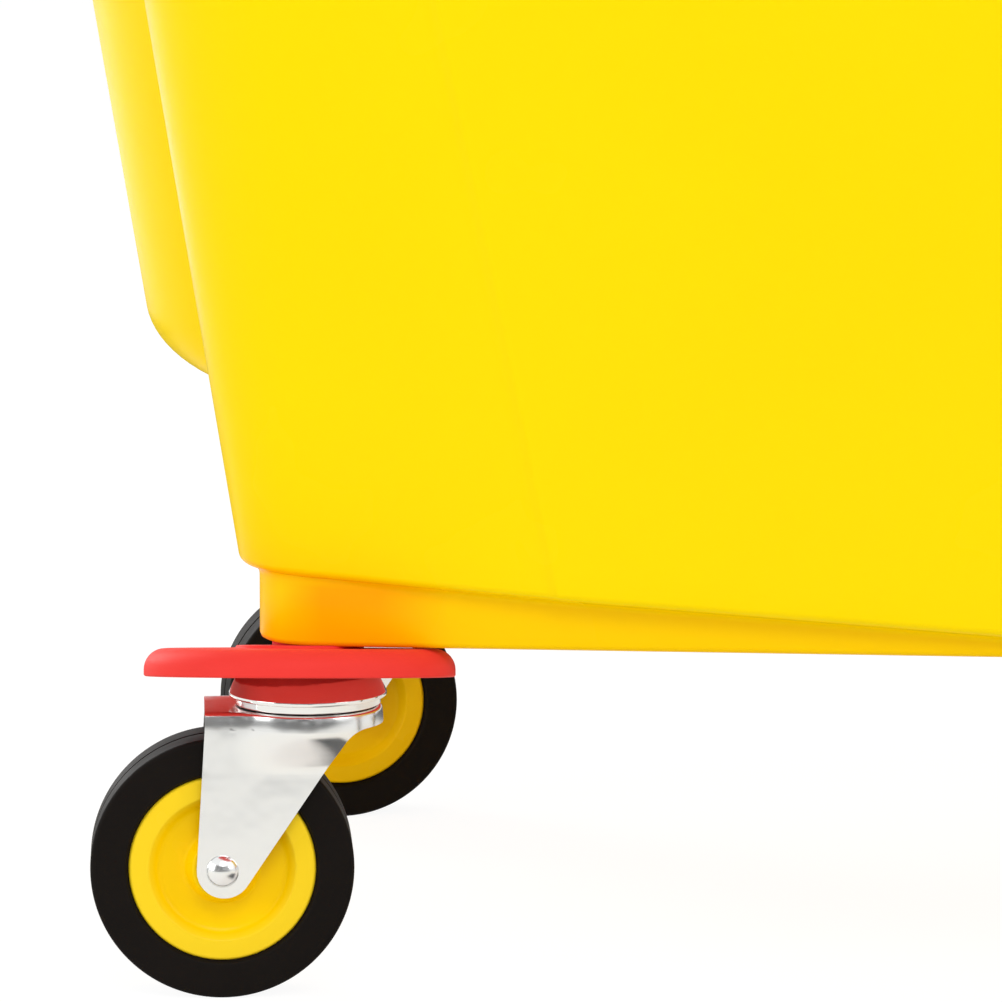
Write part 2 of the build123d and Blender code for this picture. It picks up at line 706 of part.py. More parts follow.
def make_fixed_plate():
    bottom, top = fixed_span()
    with BuildPart() as plate:
        with BuildSketch(fixed_plane()):
            Rectangle(2 * FIXED_HALF_W, top - bottom)
            with GridLocations(FIXED_SPAN / (FIXED_COLUMNS - 1), PERF_ROW_PITCH, FIXED_COLUMNS, PERF_ROWS):
                Circle(PERF_D / 2, mode=Mode.SUBTRACT)
            with GridLocations(*screw_spacing(), 2, 2):
                Circle(SCREW_D / 2 + SEAT_CLEAR, mode=Mode.SUBTRACT)
        extrude(amount=-FIXED_T)
    save(plate, "fixed_press_plate")


def make_plate_screws():
    with BuildPart() as screws:
        with BuildSketch(fixed_plane().offset(-FIXED_T)):
            with GridLocations(*screw_spacing(), 2, 2):
                Circle(SCREW_D / 2)
        extrude(amount=FIXED_T + FIXED_STANDOFF)
        with BuildSketch(fixed_plane().offset(-FIXED_T)):
            with GridLocations(*screw_spacing(), 2, 2):
                Circle(SCREW_HEAD_D / 2)
        extrude(amount=-SCREW_HEAD_H)
        fillet(screws.edges().group_by(Axis.X)[0], SCREW_HEAD_H / 2)
    save(screws, "fixed_plate_screws")


def make_hinge_pin():
    half = HOUSING_HALF_W + BODY_CLEAR
    with BuildPart() as pin:
        with BuildSketch(upright(half)):
            with Locations((HINGE_X, HINGE_Z)):
                Circle(HINGE_PIN_D / 2)
        extrude(amount=2 * half)
        for y, outward in ((half, -1), (-half, 1)):
            with BuildSketch(upright(y)):
                with Locations((HINGE_X, HINGE_Z)):
                    Circle(HINGE_HEAD_D / 2)
            extrude(amount=outward * HINGE_HEAD_T)
    save(pin, "plate_hinge_pin")


def make_press_plate():
    # Perforated board on a hinge barrel
    middle = (BARREL_D / 2 + PLATE_LENGTH) / 2
    face = Plane(
        plate_plane(0).from_local_coords((PLATE_T / 2, middle, 0)),
        x_dir=(0, 1, 0),
        z_dir=plate_plane(0).x_dir,
    )
    with BuildPart() as plate:
        with BuildSketch(plate_plane(PLATE_HALF_W)):
            with Locations((0, PLATE_LENGTH / 2)):
                Rectangle(PLATE_T, PLATE_LENGTH)
            Circle(BARREL_D / 2)
            Circle(HINGE_PIN_D / 2 + RUN_CLEAR, mode=Mode.SUBTRACT)
        extrude(amount=2 * PLATE_HALF_W)
        with BuildSketch(face):
            with GridLocations(PERF_SPAN / (PERF_COLUMNS - 1), PERF_ROW_PITCH, PERF_COLUMNS, PERF_ROWS):
                Circle(PERF_D / 2)
        extrude(amount=-PLATE_T, mode=Mode.SUBTRACT)
    save(plate, "press_plate")


def involute(base_r, radius):
    # Polar angle of an involute from its start on the base circle to this radius
    roll = sqrt(max((radius / base_r) ** 2 - 1, 0))
    return roll - atan2(roll, 1)


def tooth_flank(teeth):
    # Root radius, then radius and half angle of the tooth at the flank's foot, middle and tip
    pitch_r = GEAR_MODULE * teeth / 2
    base_r = pitch_r * cos(radians(PRESSURE_ANGLE))
    tip_r = pitch_r + ADDENDUM
    root_r = pitch_r - DEDENDUM
    low_r = max(base_r, root_r)
    half_pitch = pi / (2 * teeth) - BACKLASH / (4 * pitch_r)
    at_pitch = involute(base_r, pitch_r)
    radii = (low_r, (low_r + tip_r) / 2, tip_r)
    return root_r, [(r, half_pitch + at_pitch - involute(base_r, r)) for r in radii]


def polar(radius, angle):
    # Angles run clockwise from local up
    return radius * sin(angle), radius * cos(angle)


def toothed_run(teeth, count, start):
    # One run of teeth about the local origin, from the given angle clockwise
    pitch = 2 * pi / teeth
    root_r, flank = tooth_flank(teeth)
    foot_r, foot_half = flank[0]
    with BuildLine() as run:
        last = polar(root_r, start)
        for tooth in range(count):
            axis = start + pitch * (tooth + 0.5)
            foot_in = polar(root_r, axis - foot_half)
            foot_out = polar(root_r, axis + foot_half)
            rising = [polar(r, axis - half) for r, half in flank]
            falling = [polar(r, axis + half) for r, half in reversed(flank)]
            Line(last, foot_in)
            if foot_r > root_r:
                Line(foot_in, rising[0])
            ThreePointArc(*rising)
            Line(rising[-1], falling[0])
            ThreePointArc(*falling)
            if foot_r > root_r:
                Line(falling[-1], foot_out)
            last = foot_out
        Line(last, polar(root_r, start + pitch * count))
    return run.line


def make_pinions():
    # Sector gears on the lever shaft, with a tooth gap on the line of centres at rest
    pitch = 2 * pi / PINION_TEETH
    start = radians(180 - GEAR_LINE_ANGLE) - PINION_LEAD_TEETH * pitch
    root_r = tooth_flank(PINION_TEETH)[0]
    last = start + pitch * PINION_CUT_TEETH
    with BuildPart() as pinions:
        for y in (-GEAR_Y, GEAR_Y):
            with BuildSketch(shaft_plane(y + PINION_W / 2)):
                with BuildLine():
                    add(toothed_run(PINION_TEETH, PINION_CUT_TEETH, start))
                    Polyline(polar(root_r, last), (0, 0), polar(root_r, start))
                make_face()
                Circle(PINION_HUB_D / 2)
                Circle(SHAFT_D / 2 + SEAT_CLEAR, mode=Mode.SUBTRACT)
            extrude(amount=PINION_W)
    save(pinions, "lever_pinions")


def make_quadrants():
    # Toothed quadrants on the back of the press plate, with a tooth on the line of centres at rest
    pitch = 2 * pi / QUADRANT_TEETH
    line = -radians(GEAR_LINE_ANGLE - PLATE_LEAN)
    last = line + (QUADRANT_LEAD_TEETH + 0.5) * pitch
    start = last - pitch * QUADRANT_CUT_TEETH
    root_r = tooth_flank(QUADRANT_TEETH)[0]
    back = -PLATE_T / 2
    top_end = polar(root_r, last)
    with BuildPart() as quadrants:
        for y in (-GEAR_Y, GEAR_Y):
            with BuildSketch(plate_plane(y + QUADRANT_W / 2)):
                with BuildLine():
                    add(toothed_run(QUADRANT_TEETH, QUADRANT_CUT_TEETH, start))
                    Polyline(
                        top_end,
                        (back, top_end[1]),
                        (back, QUADRANT_FOOT),
                        polar(root_r - QUADRANT_RIM, start),
                        polar(root_r, start),
                    )
                make_face()
            extrude(amount=QUADRANT_W)
    save(quadrants, "plate_quadrants")


# Lever


def hub_span():
    # Inner and outer face of the lever hub, as distances from the middle of the bucket
    inner = HOUSING_HALF_W + SHAFT_BUSH_FLANGE_T + BODY_CLEAR
    return inner, inner + LEVER_HUB_W


def shaft_plane(y):
    return Plane((TUB_X + SHAFT_X, y, SHAFT_Z), x_dir=(1, 0, 0), z_dir=(0, -1, 0))


def lever_cross(along):
    # Plane square to the lever, this far from the shaft
    y = -sum(hub_span()) / 2
    lean = radians(LEVER_LEAN)
    middle = lever_plane(y).from_local_coords((0, along, 0))
    return Plane(middle, x_dir=(0, 1, 0), z_dir=(sin(lean), 0, cos(lean)))


def make_shaft():
    inner, outer = hub_span()
    far_end = inner + END_COLLAR_W
    with BuildPart() as shaft:
        with BuildSketch(shaft_plane(far_end)):
            Circle(SHAFT_D / 2)
        extrude(amount=far_end + outer)
        chamfer(shaft.edges().filter_by(GeomType.CIRCLE), SHAFT_CHAMFER)
    save(shaft, "lever_shaft")


def make_shaft_bushes():
    length = HOUSING_WALL + SHAFT_BUSH_INNER
    with BuildPart() as bushes:
        for side in (-1, 1):
            with BuildSketch(shaft_plane(side * HOUSING_HALF_W)):
                Circle(SHAFT_D / 2 + SHAFT_BUSH_WALL)
                Circle(SHAFT_D / 2 + RUN_CLEAR, mode=Mode.SUBTRACT)
            extrude(amount=side * length)
            with BuildSketch(shaft_plane(side * HOUSING_HALF_W)):
                Circle(SHAFT_D / 2 + SHAFT_BUSH_WALL + SHAFT_BUSH_FLANGE)
                Circle(SHAFT_D / 2 + RUN_CLEAR, mode=Mode.SUBTRACT)
            extrude(amount=-side * SHAFT_BUSH_FLANGE_T)
    save(bushes, "shaft_bushes")


def make_end_collar():
    inner = hub_span()[0]
    with BuildPart() as collar:
        with BuildSketch(shaft_plane(inner)):
            Circle(END_COLLAR_D / 2)
            Circle(SHAFT_D / 2 + SEAT_CLEAR, mode=Mode.SUBTRACT)
        extrude(amount=-END_COLLAR_W)
        chamfer(collar.edges().group_by(Axis.Y)[-1].sort_by(SortBy.LENGTH)[-1], SHAFT_CHAMFER)
    save(collar, "shaft_end_collar")


def make_lever_hub():
    inner, outer = hub_span()
    with BuildPart() as hub:
        with BuildSketch(shaft_plane(-inner)):
            Circle(LEVER_HUB_D / 2)
        extrude(amount=LEVER_HUB_W)
        with BuildSketch(lever_cross(0)):
            Circle(LEVER_SOCKET_D / 2)
        extrude(amount=LEVER_SOCKET_LENGTH)
        with BuildSketch(lever_cross(LEVER_TUBE_START)):
            Circle(LEVER_TUBE_D / 2 + SEAT_CLEAR)
        extrude(amount=LEVER_SOCKET_LENGTH, mode=Mode.SUBTRACT)
        with BuildSketch(shaft_plane(-inner)):
            Circle(SHAFT_D / 2 + SEAT_CLEAR)
        extrude(amount=LEVER_HUB_W, mode=Mode.SUBTRACT)
        with BuildSketch(lever_plane(-inner)):
            with Locations(*[(0, spot) for spot in LEVER_BOLT_SPOTS]):
                Circle(LEVER_BOLT_D / 2 + SEAT_CLEAR)
        extrude(amount=LEVER_HUB_W, mode=Mode.SUBTRACT)
    save(hub, "lever_hub")


def make_lever_bolts():
    # Two bolts from the outer side, threaded into the inner wall of the socket
    inner, outer = hub_span()
    with BuildPart() as bolts:
        with BuildSketch(lever_plane(-outer)):
            with Locations(*[(0, spot) for spot in LEVER_BOLT_SPOTS]):
                Circle(LEVER_BOLT_D / 2)
        extrude(amount=inner + LEVER_BOLT_SHORT - outer)
        with BuildSketch(lever_plane(-outer)):
            with Locations(*[(0, spot) for spot in LEVER_BOLT_SPOTS]):
                RegularPolygon(LEVER_BOLT_HEAD_D / 2, 6)
        extrude(amount=LEVER_BOLT_HEAD_H)
    save(bolts, "lever_bolts")


def make_lever_tube():
    inner, outer = hub_span()
    with BuildPart() as tube:
        with BuildSketch(lever_cross(LEVER_TUBE_START)):
            Circle(LEVER_TUBE_D / 2)
            Circle(LEVER_TUBE_D / 2 - LEVER_TUBE_WALL, mode=Mode.SUBTRACT)
        extrude(amount=LEVER_TUBE_LENGTH)
        with BuildSketch(lever_plane(-inner)):
            with Locations(*[(0, spot) for spot in LEVER_BOLT_SPOTS]):
                Circle(LEVER_BOLT_D / 2 + SEAT_CLEAR)
        extrude(amount=LEVER_HUB_W, mode=Mode.SUBTRACT)
    save(tube, "lever_tube")


def make_lever_grip():
    tube_end = LEVER_TUBE_START + LEVER_TUBE_LENGTH
    foot = tube_end - GRIP_LENGTH
    up = Axis(lever_cross(0).origin, lever_cross(0).z_dir)
    with BuildPart() as grip:
        with BuildSketch(lever_cross(foot)):
            Circle(GRIP_D / 2)
        extrude(amount=GRIP_LENGTH + GRIP_CAP)
        fillet(grip.edges().sort_by(up)[-1], GRIP_CAP)
        fillet(grip.edges().sort_by(up)[0], GRIP_FOOT_ROUND)
        for groove in range(GRIP_GROOVES):
            at = foot + GRIP_GROOVE_START + groove * GRIP_GROOVE_PITCH
            with BuildSketch(lever_cross(at)):
                Circle(GRIP_D / 2)
                Circle(GRIP_D / 2 - GRIP_GROOVE_DEPTH, mode=Mode.SUBTRACT)
            extrude(amount=GRIP_GROOVE_W, mode=Mode.SUBTRACT)
        with BuildSketch(lever_cross(foot)):
            Circle(LEVER_TUBE_D / 2 + SEAT_CLEAR)
        extrude(amount=GRIP_LENGTH, mode=Mode.SUBTRACT)
    save(grip, "lever_grip")


make_tub()
make_stem_sleeves()
for side in SWIVEL:
    make_bumper(side)
    make_stem(side)
    make_race(side)
    make_balls(side)
    make_fork(side)
    make_axle(side)
    make_bush(side)
    make_hub(side)
    make_tyre(side)
make_housing()
make_fixed_plate()
make_plate_screws()
make_hinge_pin()
make_press_plate()
make_pinions()
make_quadrants()
make_shaft()
make_shaft_bushes()
make_end_collar()
make_lever_hub()
make_lever_bolts()
make_lever_tube()
make_lever_grip()
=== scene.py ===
import bmesh
import bpy
import numpy as np
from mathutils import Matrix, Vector


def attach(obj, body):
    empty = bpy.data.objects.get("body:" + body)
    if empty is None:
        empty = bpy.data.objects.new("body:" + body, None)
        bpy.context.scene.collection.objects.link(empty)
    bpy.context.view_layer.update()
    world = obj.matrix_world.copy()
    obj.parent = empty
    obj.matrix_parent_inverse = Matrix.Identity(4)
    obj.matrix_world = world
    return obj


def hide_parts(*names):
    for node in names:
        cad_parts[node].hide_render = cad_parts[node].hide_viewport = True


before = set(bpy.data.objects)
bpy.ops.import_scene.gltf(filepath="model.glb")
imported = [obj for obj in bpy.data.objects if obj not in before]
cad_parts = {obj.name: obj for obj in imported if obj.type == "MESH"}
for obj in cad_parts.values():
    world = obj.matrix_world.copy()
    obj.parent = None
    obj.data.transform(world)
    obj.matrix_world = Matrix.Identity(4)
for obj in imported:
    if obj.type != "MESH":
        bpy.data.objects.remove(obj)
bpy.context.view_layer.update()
scene = bpy.context.scene
scene.view_settings.view_transform = "Standard"
mm = 0.001  # lengths are in millimetres until they go into a mesh, a node or a modifier
sides = ("front_left", "rear_left", "front_right", "rear_right")
print("frame loaded:", len(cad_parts), "nodes")


# colours and nodes

def linear(hexColour):
    # sRGB hex to linear: each channel through the usual two-part curve
    s = np.array([int(hexColour[i:i + 2], 16) for i in (1, 3, 5)]) / 255
    v = np.where(s <= 0.04045, s / 12.92, ((s + 0.055) / 1.055) ** 2.4)
    return (*v.tolist(), 1.0)


def addNode(tree, kind, inputs=None, **settings):
    # one node, its settings, and its inputs as plain values or (node, output) links
    made = tree.nodes.new(kind)
    for key, value in settings.items():
        setattr(made, key, value)
    for key, value in (inputs or {}).items():
        if isinstance(value, tuple) and isinstance(value[0], bpy.types.Node):
            tree.links.new(value[0].outputs[value[1]], made.inputs[key])
        else:
            made.inputs[key].default_value = value
    return made


def newMaterial(name):
    # a material with no nodes yet
    made = bpy.data.materials.new(name)
    made.use_nodes = True
    tree = made.node_tree
    tree.nodes.clear()
    return made, tree


noiseSpan = (0.3, 0.7)  # nearly all of the clouds' noise lies between these two


def speckled(name, look):
    # a moulded, plated or rubber finish: two close colours in soft clouds, a fine grain in the bump,
    # and roughness that wanders with the clouds between two values
    made, tree = newMaterial(name)
    where = addNode(tree, "ShaderNodeTexCoord")
    cloud = addNode(tree, "ShaderNodeTexNoise", {
        "Vector": (where, "Object"), "Scale": 1 / (look["cloudMm"] * mm), "Detail": 3.0})
    grain = addNode(tree, "ShaderNodeTexNoise", {
        "Vector": (where, "Object"), "Scale": 1 / (look["grainMm"] * mm), "Detail": 2.0})
    colour = addNode(tree, "ShaderNodeMix", {
        "Factor": (cloud, "Fac"), "A": linear(look["dark"]), "B": linear(look["light"])}, data_type="RGBA")
    # painted shade under the plinth's step, and a painted shadow with red bounce light over the bumpers
    if "paintedShade" in look:
        for share, tint in zip(paintedShadeShares(tree, where), (look["paintedShade"], look["paintedBumperShade"])):
            colour = addNode(tree, "ShaderNodeMix", {
                "Factor": share, "A": (colour, "Result"), "B": linear(tint)}, data_type="RGBA")
    # a paler painted sheen where the attribute is set
    if "paintedSheenColour" in look:
        paintedSheen = addNode(tree, "ShaderNodeAttribute", attribute_name="paintedSheen")
        colour = addNode(tree, "ShaderNodeMix", {
            "Factor": (paintedSheen, "Fac"), "A": (colour, "Result"), "B": linear(look["paintedSheenColour"])}, data_type="RGBA")
    rough = addNode(tree, "ShaderNodeMapRange", {
        "Value": (cloud, "Fac"), "From Min": noiseSpan[0], "From Max": noiseSpan[1],
        "To Min": look["rough"][0], "To Max": look["rough"][1]})
    bump = addNode(tree, "ShaderNodeBump", {
        "Height": (grain, "Fac"), "Strength": look["bump"], "Distance": look["grainMm"] * mm})
    shader = addNode(tree, "ShaderNodeBsdfPrincipled", {
        "Base Color": (colour, "Result"), "Roughness": (rough, "Result"), "Normal": (bump, "Normal"),
        "Metallic": look.get("metal", 0.0), "Specular IOR Level": look.get("specular", 0.5)})
    addNode(tree, "ShaderNodeOutputMaterial", {"Surface": (shader, "BSDF")})
    return made


bucket = {
    "tubX": 17.75, "baseZ": 101.7, "rimZ": 395.0, "wall": 3.5, "floor": 5.0,
    # plinth; its lower edge is a list of insets and heights
    "plinthHalfL": 214.0, "plinthHalfW": 153.0, "plinthCorner": 19.0, "sharpest": 2.0, "plinthCrease": 90.0,
    "plinthEdge": ((3.0, 0.0), (1.6, 0.0), (0.5, 0.6), (0.0, 1.8)),
    # step from the plinth out to the wall
    "stepEnd": 21.6, "stepMid": 6.5, "stepHalfL": 219.8, "stepHalfW": 162.0, "cove": 3.0, "coveFoot": 2.2,
    "edgeRound": 2.8,
    # wall, with the crease's distance from the end at the bottom and at the rim
    "rimHalfL": 265.4, "rimHalfW": 196.0, "cornerLow": 24.0, "cornerHigh": 70.0, "creaseLow": 92.8,
    "creaseHigh": 87.0, "creaseSweep": 4.5, "creaseSoft": 1.5, "creaseStep": 0.8, "creaseFall": 3.2,
    # spout, with its half width at the bottom and at the rim, and the levels clear of it and of the rim
    "spoutReach": 35.5, "spoutLow": 58.0, "spoutHigh": 84.0, "spoutBottom": 60.0, "spoutRound": 20.0,
    "spoutFlat": 0.3, "spoutSoft": 6.0, "spoutLift": 0.05, "belowSpout": (8.0, 3.0), "overSpout": 30.0,
    "underRim": 4.0, "belowSpoutIn": (2.0, 14.0), "underRimIn": 6.0, "overStepIn": 6.0,
    # rim
    "rimOut": 11.0, "rimThick": 4.0, "rimRound": 3.5, "rimFlat": 2.0, "mouthRound": 2.0, "lip": 16.0,
    "lipThick": 3.0,
    # pad under the floor and bosses on it
    "padHalfL": 140.0, "padHalfW": 85.0, "pad": 1.5, "padCorner": 4.0, "padEdge": 0.5, "padPoints": 48,
    "boss": 11.0, "bossTop": 40.0, "bossRound": 1.5, "bossPoints": 36, "sunk": 1.0,
    # points along a quarter's half end, corner and half side
    "endPoints": 44, "arcPoints": 18, "longPoints": 64}


def stepSlope():
    # how fast the step's line climbs from the middle to an end
    return (bucket["stepEnd"] - bucket["stepMid"]) / bucket["stepHalfL"]


# where the plinth's painted shade starts and ends: heights over the step's line, distances from the tub's
# middle, and heights over the underside
plinthPaintedShade = {"line": (-3.0, 0.5), "ends": (192.0, 206.0), "paintedBumperShadeFrom": (158.0, 178.0),
              "paintedBumperShadeTo": (194.0, 206.0), "paintedBumperShadeUp": (1.0, 13.0), "paintedBumperShadeLow": 0.15}


def paintedShadeShares(tree, where):
    # two shares of painted shade under the step's line, which rises with the distance from the middle: one,
    # the overhang's painted shadow, fades out at the two ends; the other, a painted shadow with painted red
    # bounce light from the bumpers, lies over the inner half of each bumper and weakens towards the plinth's
    # lower edge
    d = plinthPaintedShade
    middleZ = bucket["baseZ"] + bucket["stepMid"]
    parts = addNode(tree, "ShaderNodeSeparateXYZ", {"Vector": (where, "Object")})
    fromMid = addNode(tree, "ShaderNodeMath", {0: (parts, "X"), 1: bucket["tubX"] * mm}, operation="SUBTRACT")
    out = addNode(tree, "ShaderNodeMath", {0: (fromMid, "Value")}, operation="ABSOLUTE")
    line = addNode(tree, "ShaderNodeMath", {
        0: (out, "Value"), 1: stepSlope(), 2: middleZ * mm}, operation="MULTIPLY_ADD")
    over = addNode(tree, "ShaderNodeMath", {0: (parts, "Z"), 1: (line, "Value")}, operation="SUBTRACT")
    under = addNode(tree, "ShaderNodeMapRange", {
        "Value": (over, "Value"), "From Min": d["line"][0] * mm, "From Max": d["line"][1] * mm,
        "To Min": 1.0, "To Max": 0.0})
    paintedShade = addNode(tree, "ShaderNodeMapRange", {
        "Value": (out, "Value"), "From Min": d["ends"][0] * mm, "From Max": d["ends"][1] * mm,
        "To Min": (under, "Result"), "To Max": 0.0})
    up = addNode(tree, "ShaderNodeMapRange", {
        "Value": (parts, "Z"), "From Min": (bucket["baseZ"] + d["paintedBumperShadeUp"][0]) * mm,
        "From Max": (bucket["baseZ"] + d["paintedBumperShadeUp"][1]) * mm, "To Min": d["paintedBumperShadeLow"], "To Max": 1.0})
    inner = addNode(tree, "ShaderNodeMapRange", {
        "Value": (out, "Value"), "From Min": d["paintedBumperShadeFrom"][0] * mm, "From Max": d["paintedBumperShadeFrom"][1] * mm,
        "To Min": 0.0, "To Max": (up, "Result")})
    outer = addNode(tree, "ShaderNodeMapRange", {
        "Value": (out, "Value"), "From Min": d["paintedBumperShadeTo"][0] * mm, "From Max": d["paintedBumperShadeTo"][1] * mm,
        "To Min": (inner, "Result"), "To Max": 0.0})
    # the bumpers' painted shadow with painted red bounce light
    paintedBumperShade = addNode(tree, "ShaderNodeMath", {
        0: (under, "Result"), 1: (outer, "Result")}, operation="MULTIPLY")
    return (paintedShade, "Result"), (paintedBumperShade, "Value")


# the grains of the plastics and the rubbers are finer in life; they are drawn just coarse enough to show
finishes = {
    # injection-moulded polypropylene: even colour, soft gloss, hardly any grain; the foot under the step
    # has painted shade, deepest where a painted shadow with red bounce light from the bumpers lies over it
    "bucketPolypropylene": {"dark": "#fddb00", "light": "#ffe000", "paintedShade": "#ffcf00", "paintedBumperShade": "#ffb400",
                            "rough": (0.22, 0.28), "cloudMm": 90, "grainMm": 1.6, "bump": 0.02,
                            "specular": 0.06},
    # the same plastic a shade deeper; the front hubs' rims carry a paler painted sheen
    "hubPolypropylene": {"dark": "#fecf00", "light": "#ffd600", "paintedSheenColour": "#fbd723", "rough": (0.24, 0.3),
                         "cloudMm": 30, "grainMm": 1.2, "bump": 0.02, "specular": 0.1},
    # soft red vinyl: dull, with a fine grain from the mould
    "bumperVinyl": {"dark": "#ea3a35", "light": "#f2433e", "rough": (0.42, 0.52), "cloudMm": 25,
                    "grainMm": 0.8, "bump": 0.04, "specular": 0.04},
    # bright zinc plate over pressed steel: cloudy, a little wavy from the press
    "zincPlate": {"dark": "#e6e7e6", "light": "#f7f8f8", "rough": (0.15, 0.22), "cloudMm": 16,
                  "grainMm": 14.0, "bump": 0.02, "metal": 1.0},
    # polished swivel cup: a clear mirror that wavers a little
    "polishedSteel": {"dark": "#e9eae8", "light": "#f2f2f0", "rough": (0.05, 0.09), "cloudMm": 20,
                      "grainMm": 5.0, "bump": 0.03, "metal": 1.0},
    # vulcanised rubber: near black and dull
    "tyreRubber": {"dark": "#14110f", "light": "#1a1614", "rough": (0.5, 0.6), "cloudMm": 14,
                   "grainMm": 0.7, "bump": 0.05, "specular": 0.06},
    # turned steel: grey, half dull
    "turnedSteel": {"dark": "#b4b7b8", "light": "#cfd2d2", "rough": (0.22, 0.32), "cloudMm": 12,
                    "grainMm": 2.0, "bump": 0.01, "metal": 1.0},
    # chrome-plated tube: bright, nearly a mirror
    "chromeTube": {"dark": "#d3d6d8", "light": "#e2e5e6", "rough": (0.06, 0.1), "cloudMm": 40,
                   "grainMm": 3.0, "bump": 0.01, "metal": 1.0},
    # natural acetal: milky white with a soft gloss
    "naturalAcetal": {"dark": "#dedfd8", "light": "#ecece6", "rough": (0.35, 0.42), "cloudMm": 15,
                      "grainMm": 1.0, "bump": 0.03},
    # glass-filled nylon, moulded: dark grey and dull
    "filledNylon": {"dark": "#242426", "light": "#313134", "rough": (0.5, 0.6), "cloudMm": 12,
                    "grainMm": 0.6, "bump": 0.06},
    # powder coat on a casting: dark grey with a pebbled gloss
    "powderCoat": {"dark": "#2b2c2e", "light": "#36373a", "rough": (0.4, 0.5), "cloudMm": 20,
                   "grainMm": 0.9, "bump": 0.12},
    # moulded grip rubber: black and matt
    "gripRubber": {"dark": "#1d1d1e", "light": "#2a2a2b", "rough": (0.6, 0.72), "cloudMm": 18,
                   "grainMm": 0.7, "bump": 0.12},
}
material = {name: speckled(name, look) for name, look in finishes.items()}
print("finishes:", len(material))


# surfaces from grids

# a corner whose half angle is past "straight", in radians, isn't rounded
meshing = {"seam": 0.01, "sliver": 0.005, "sharpDeg": 40, "straight": 1.55}


def gridFaces(rows, cols, wrap):
    # quads between neighbouring rows and columns, the columns joined round when wrap is set
    r = np.arange(rows - 1)[:, None]
    c = np.arange(cols if wrap else cols - 1)[None, :]
    a = r * cols + c
    b = r * cols + (c + 1) % cols
    return np.stack([a, b, b + cols, a + cols], -1).reshape(-1, 4)


def pieceFrom(name, grids, look, body, nodes, caps=()):
    # joins grids of points (rows, cols, 3) into one mesh, merges seams and poles, and hangs it on its body
    points = []
    faces = []
    count = 0
    for grid, wrap in grids:
        rows, cols = grid.shape[:2]
        points.append(grid.reshape(-1, 3))
        faces += (gridFaces(rows, cols, wrap) + count).tolist()
        count += rows * cols
    for ring in caps:
        points.append(ring)
        faces.append(list(range(count, count + len(ring))))
        count += len(ring)
    mesh = bpy.data.meshes.new(name)
    mesh.from_pydata((np.concatenate(points) * mm).tolist(), [], faces)
    work = bmesh.new()
    work.from_mesh(mesh)
    bmesh.ops.remove_doubles(work, verts=work.verts, dist=meshing["seam"] * mm)
    bmesh.ops.dissolve_degenerate(work, edges=work.edges, dist=meshing["sliver"] * mm)
    bmesh.ops.recalc_face_normals(work, faces=work.faces)
    work.to_mesh(mesh)
    work.free()
    mesh.polygons.foreach_set("use_smooth", np.ones(len(mesh.polygons), bool))
    mesh.set_sharp_from_angle(angle=np.radians(meshing["sharpDeg"]))
    mesh.materials.append(look)
    return hang(bpy.data.objects.new(name, mesh), body, nodes)


def hang(made, body, nodes):
    # into the scene, onto its body and in place of its solids
    scene.collection.objects.link(made)
    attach(made, body)
    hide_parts(*nodes)
    return made


def addBevel(made, width, edgeDeg):
    # rounds every edge that turns by more than the angle
    bevel = made.modifiers.new("edges", "BEVEL")
    bevel.width = width * mm
    bevel.segments = 2
    bevel.limit_method = "ANGLE"
    bevel.angle_limit = np.radians(edgeDeg)
    bevel.harden_normals = True


def rounded(corners, steps=6):
    # a polyline of (r, h, radius) corners with each corner replaced by a tangent arc
    p = np.array([c[:2] for c in corners], float)
    out = [p[:1]]
    for i in range(1, len(p) - 1):
        radius = corners[i][2]
        back = p[i - 1] - p[i]
        ahead = p[i + 1] - p[i]
        back /= np.linalg.norm(back)
        ahead /= np.linalg.norm(ahead)
        half = np.arccos(np.clip(back @ ahead, -1, 1)) / 2
        if radius <= 0 or half > meshing["straight"]:
            out.append(p[i:i + 1])
            continue
        reach = radius / np.tan(half)
        middle = back + ahead
        centre = p[i] + middle / np.linalg.norm(middle) * radius / np.sin(half)
        first = p[i] + back * reach - centre
        last = p[i] + ahead * reach - centre
        t = np.linspace(0, 1, steps + 1)[:, None]
        sweep = np.pi - 2 * half
        arc = (np.sin((1 - t) * sweep) * first + np.sin(t * sweep) * last) / np.sin(sweep)
        out.append(centre + arc)
    out.append(p[-1:])
    return np.concatenate(out)


def ringProfile(inside, outside, low, high, edge):
    # a sleeve's closed section with its four edges broken
    middle = (inside, (low + high) / 2, 0)
    return rounded([middle, (inside, low, edge), (outside, low, edge), (outside, high, edge),
                    (inside, high, edge), middle], 3)


def mirrored(corners):
    # the same corners at the other side of height 0, in reverse
    return [(r, -h, edge) for r, h, edge in corners[::-1]]


def placed(local, placing):
    # points from a placing's own axes into the scene's
    return local @ placing[:3, :3].T + placing[:3, 3]


def lathe(profile, segments, placing):
    # the profile (radius, height) carried round the placing's own Z axis
    a = np.linspace(0, 2 * np.pi, segments, endpoint=False)
    r = profile[:, 0][:, None]
    h = np.repeat(profile[:, 1][:, None], segments, 1)
    return placed(np.stack([r * np.cos(a), r * np.sin(a), h], -1), placing)


def axes(place, xDir, zDir):
    # a placing from its origin, its local X and its local Z
    made = np.eye(4)
    made[:3, 0] = xDir
    made[:3, 1] = np.cross(zDir, xDir)
    made[:3, 2] = zDir
    made[:3, 3] = place
    return made


# where each caster stands

caster = {"stemX": 200.0, "stemY": 138.0, "trail": 24.6, "axleZ": 37.5,
          "turn": {"front_left": 8.3, "rear_left": 14.6, "front_right": -6.0, "rear_right": 11.0}}


def outward(side):
    # the signs of the corner's x and y
    return (1 if side.endswith("right") else -1), (1 if side.startswith("rear") else -1)


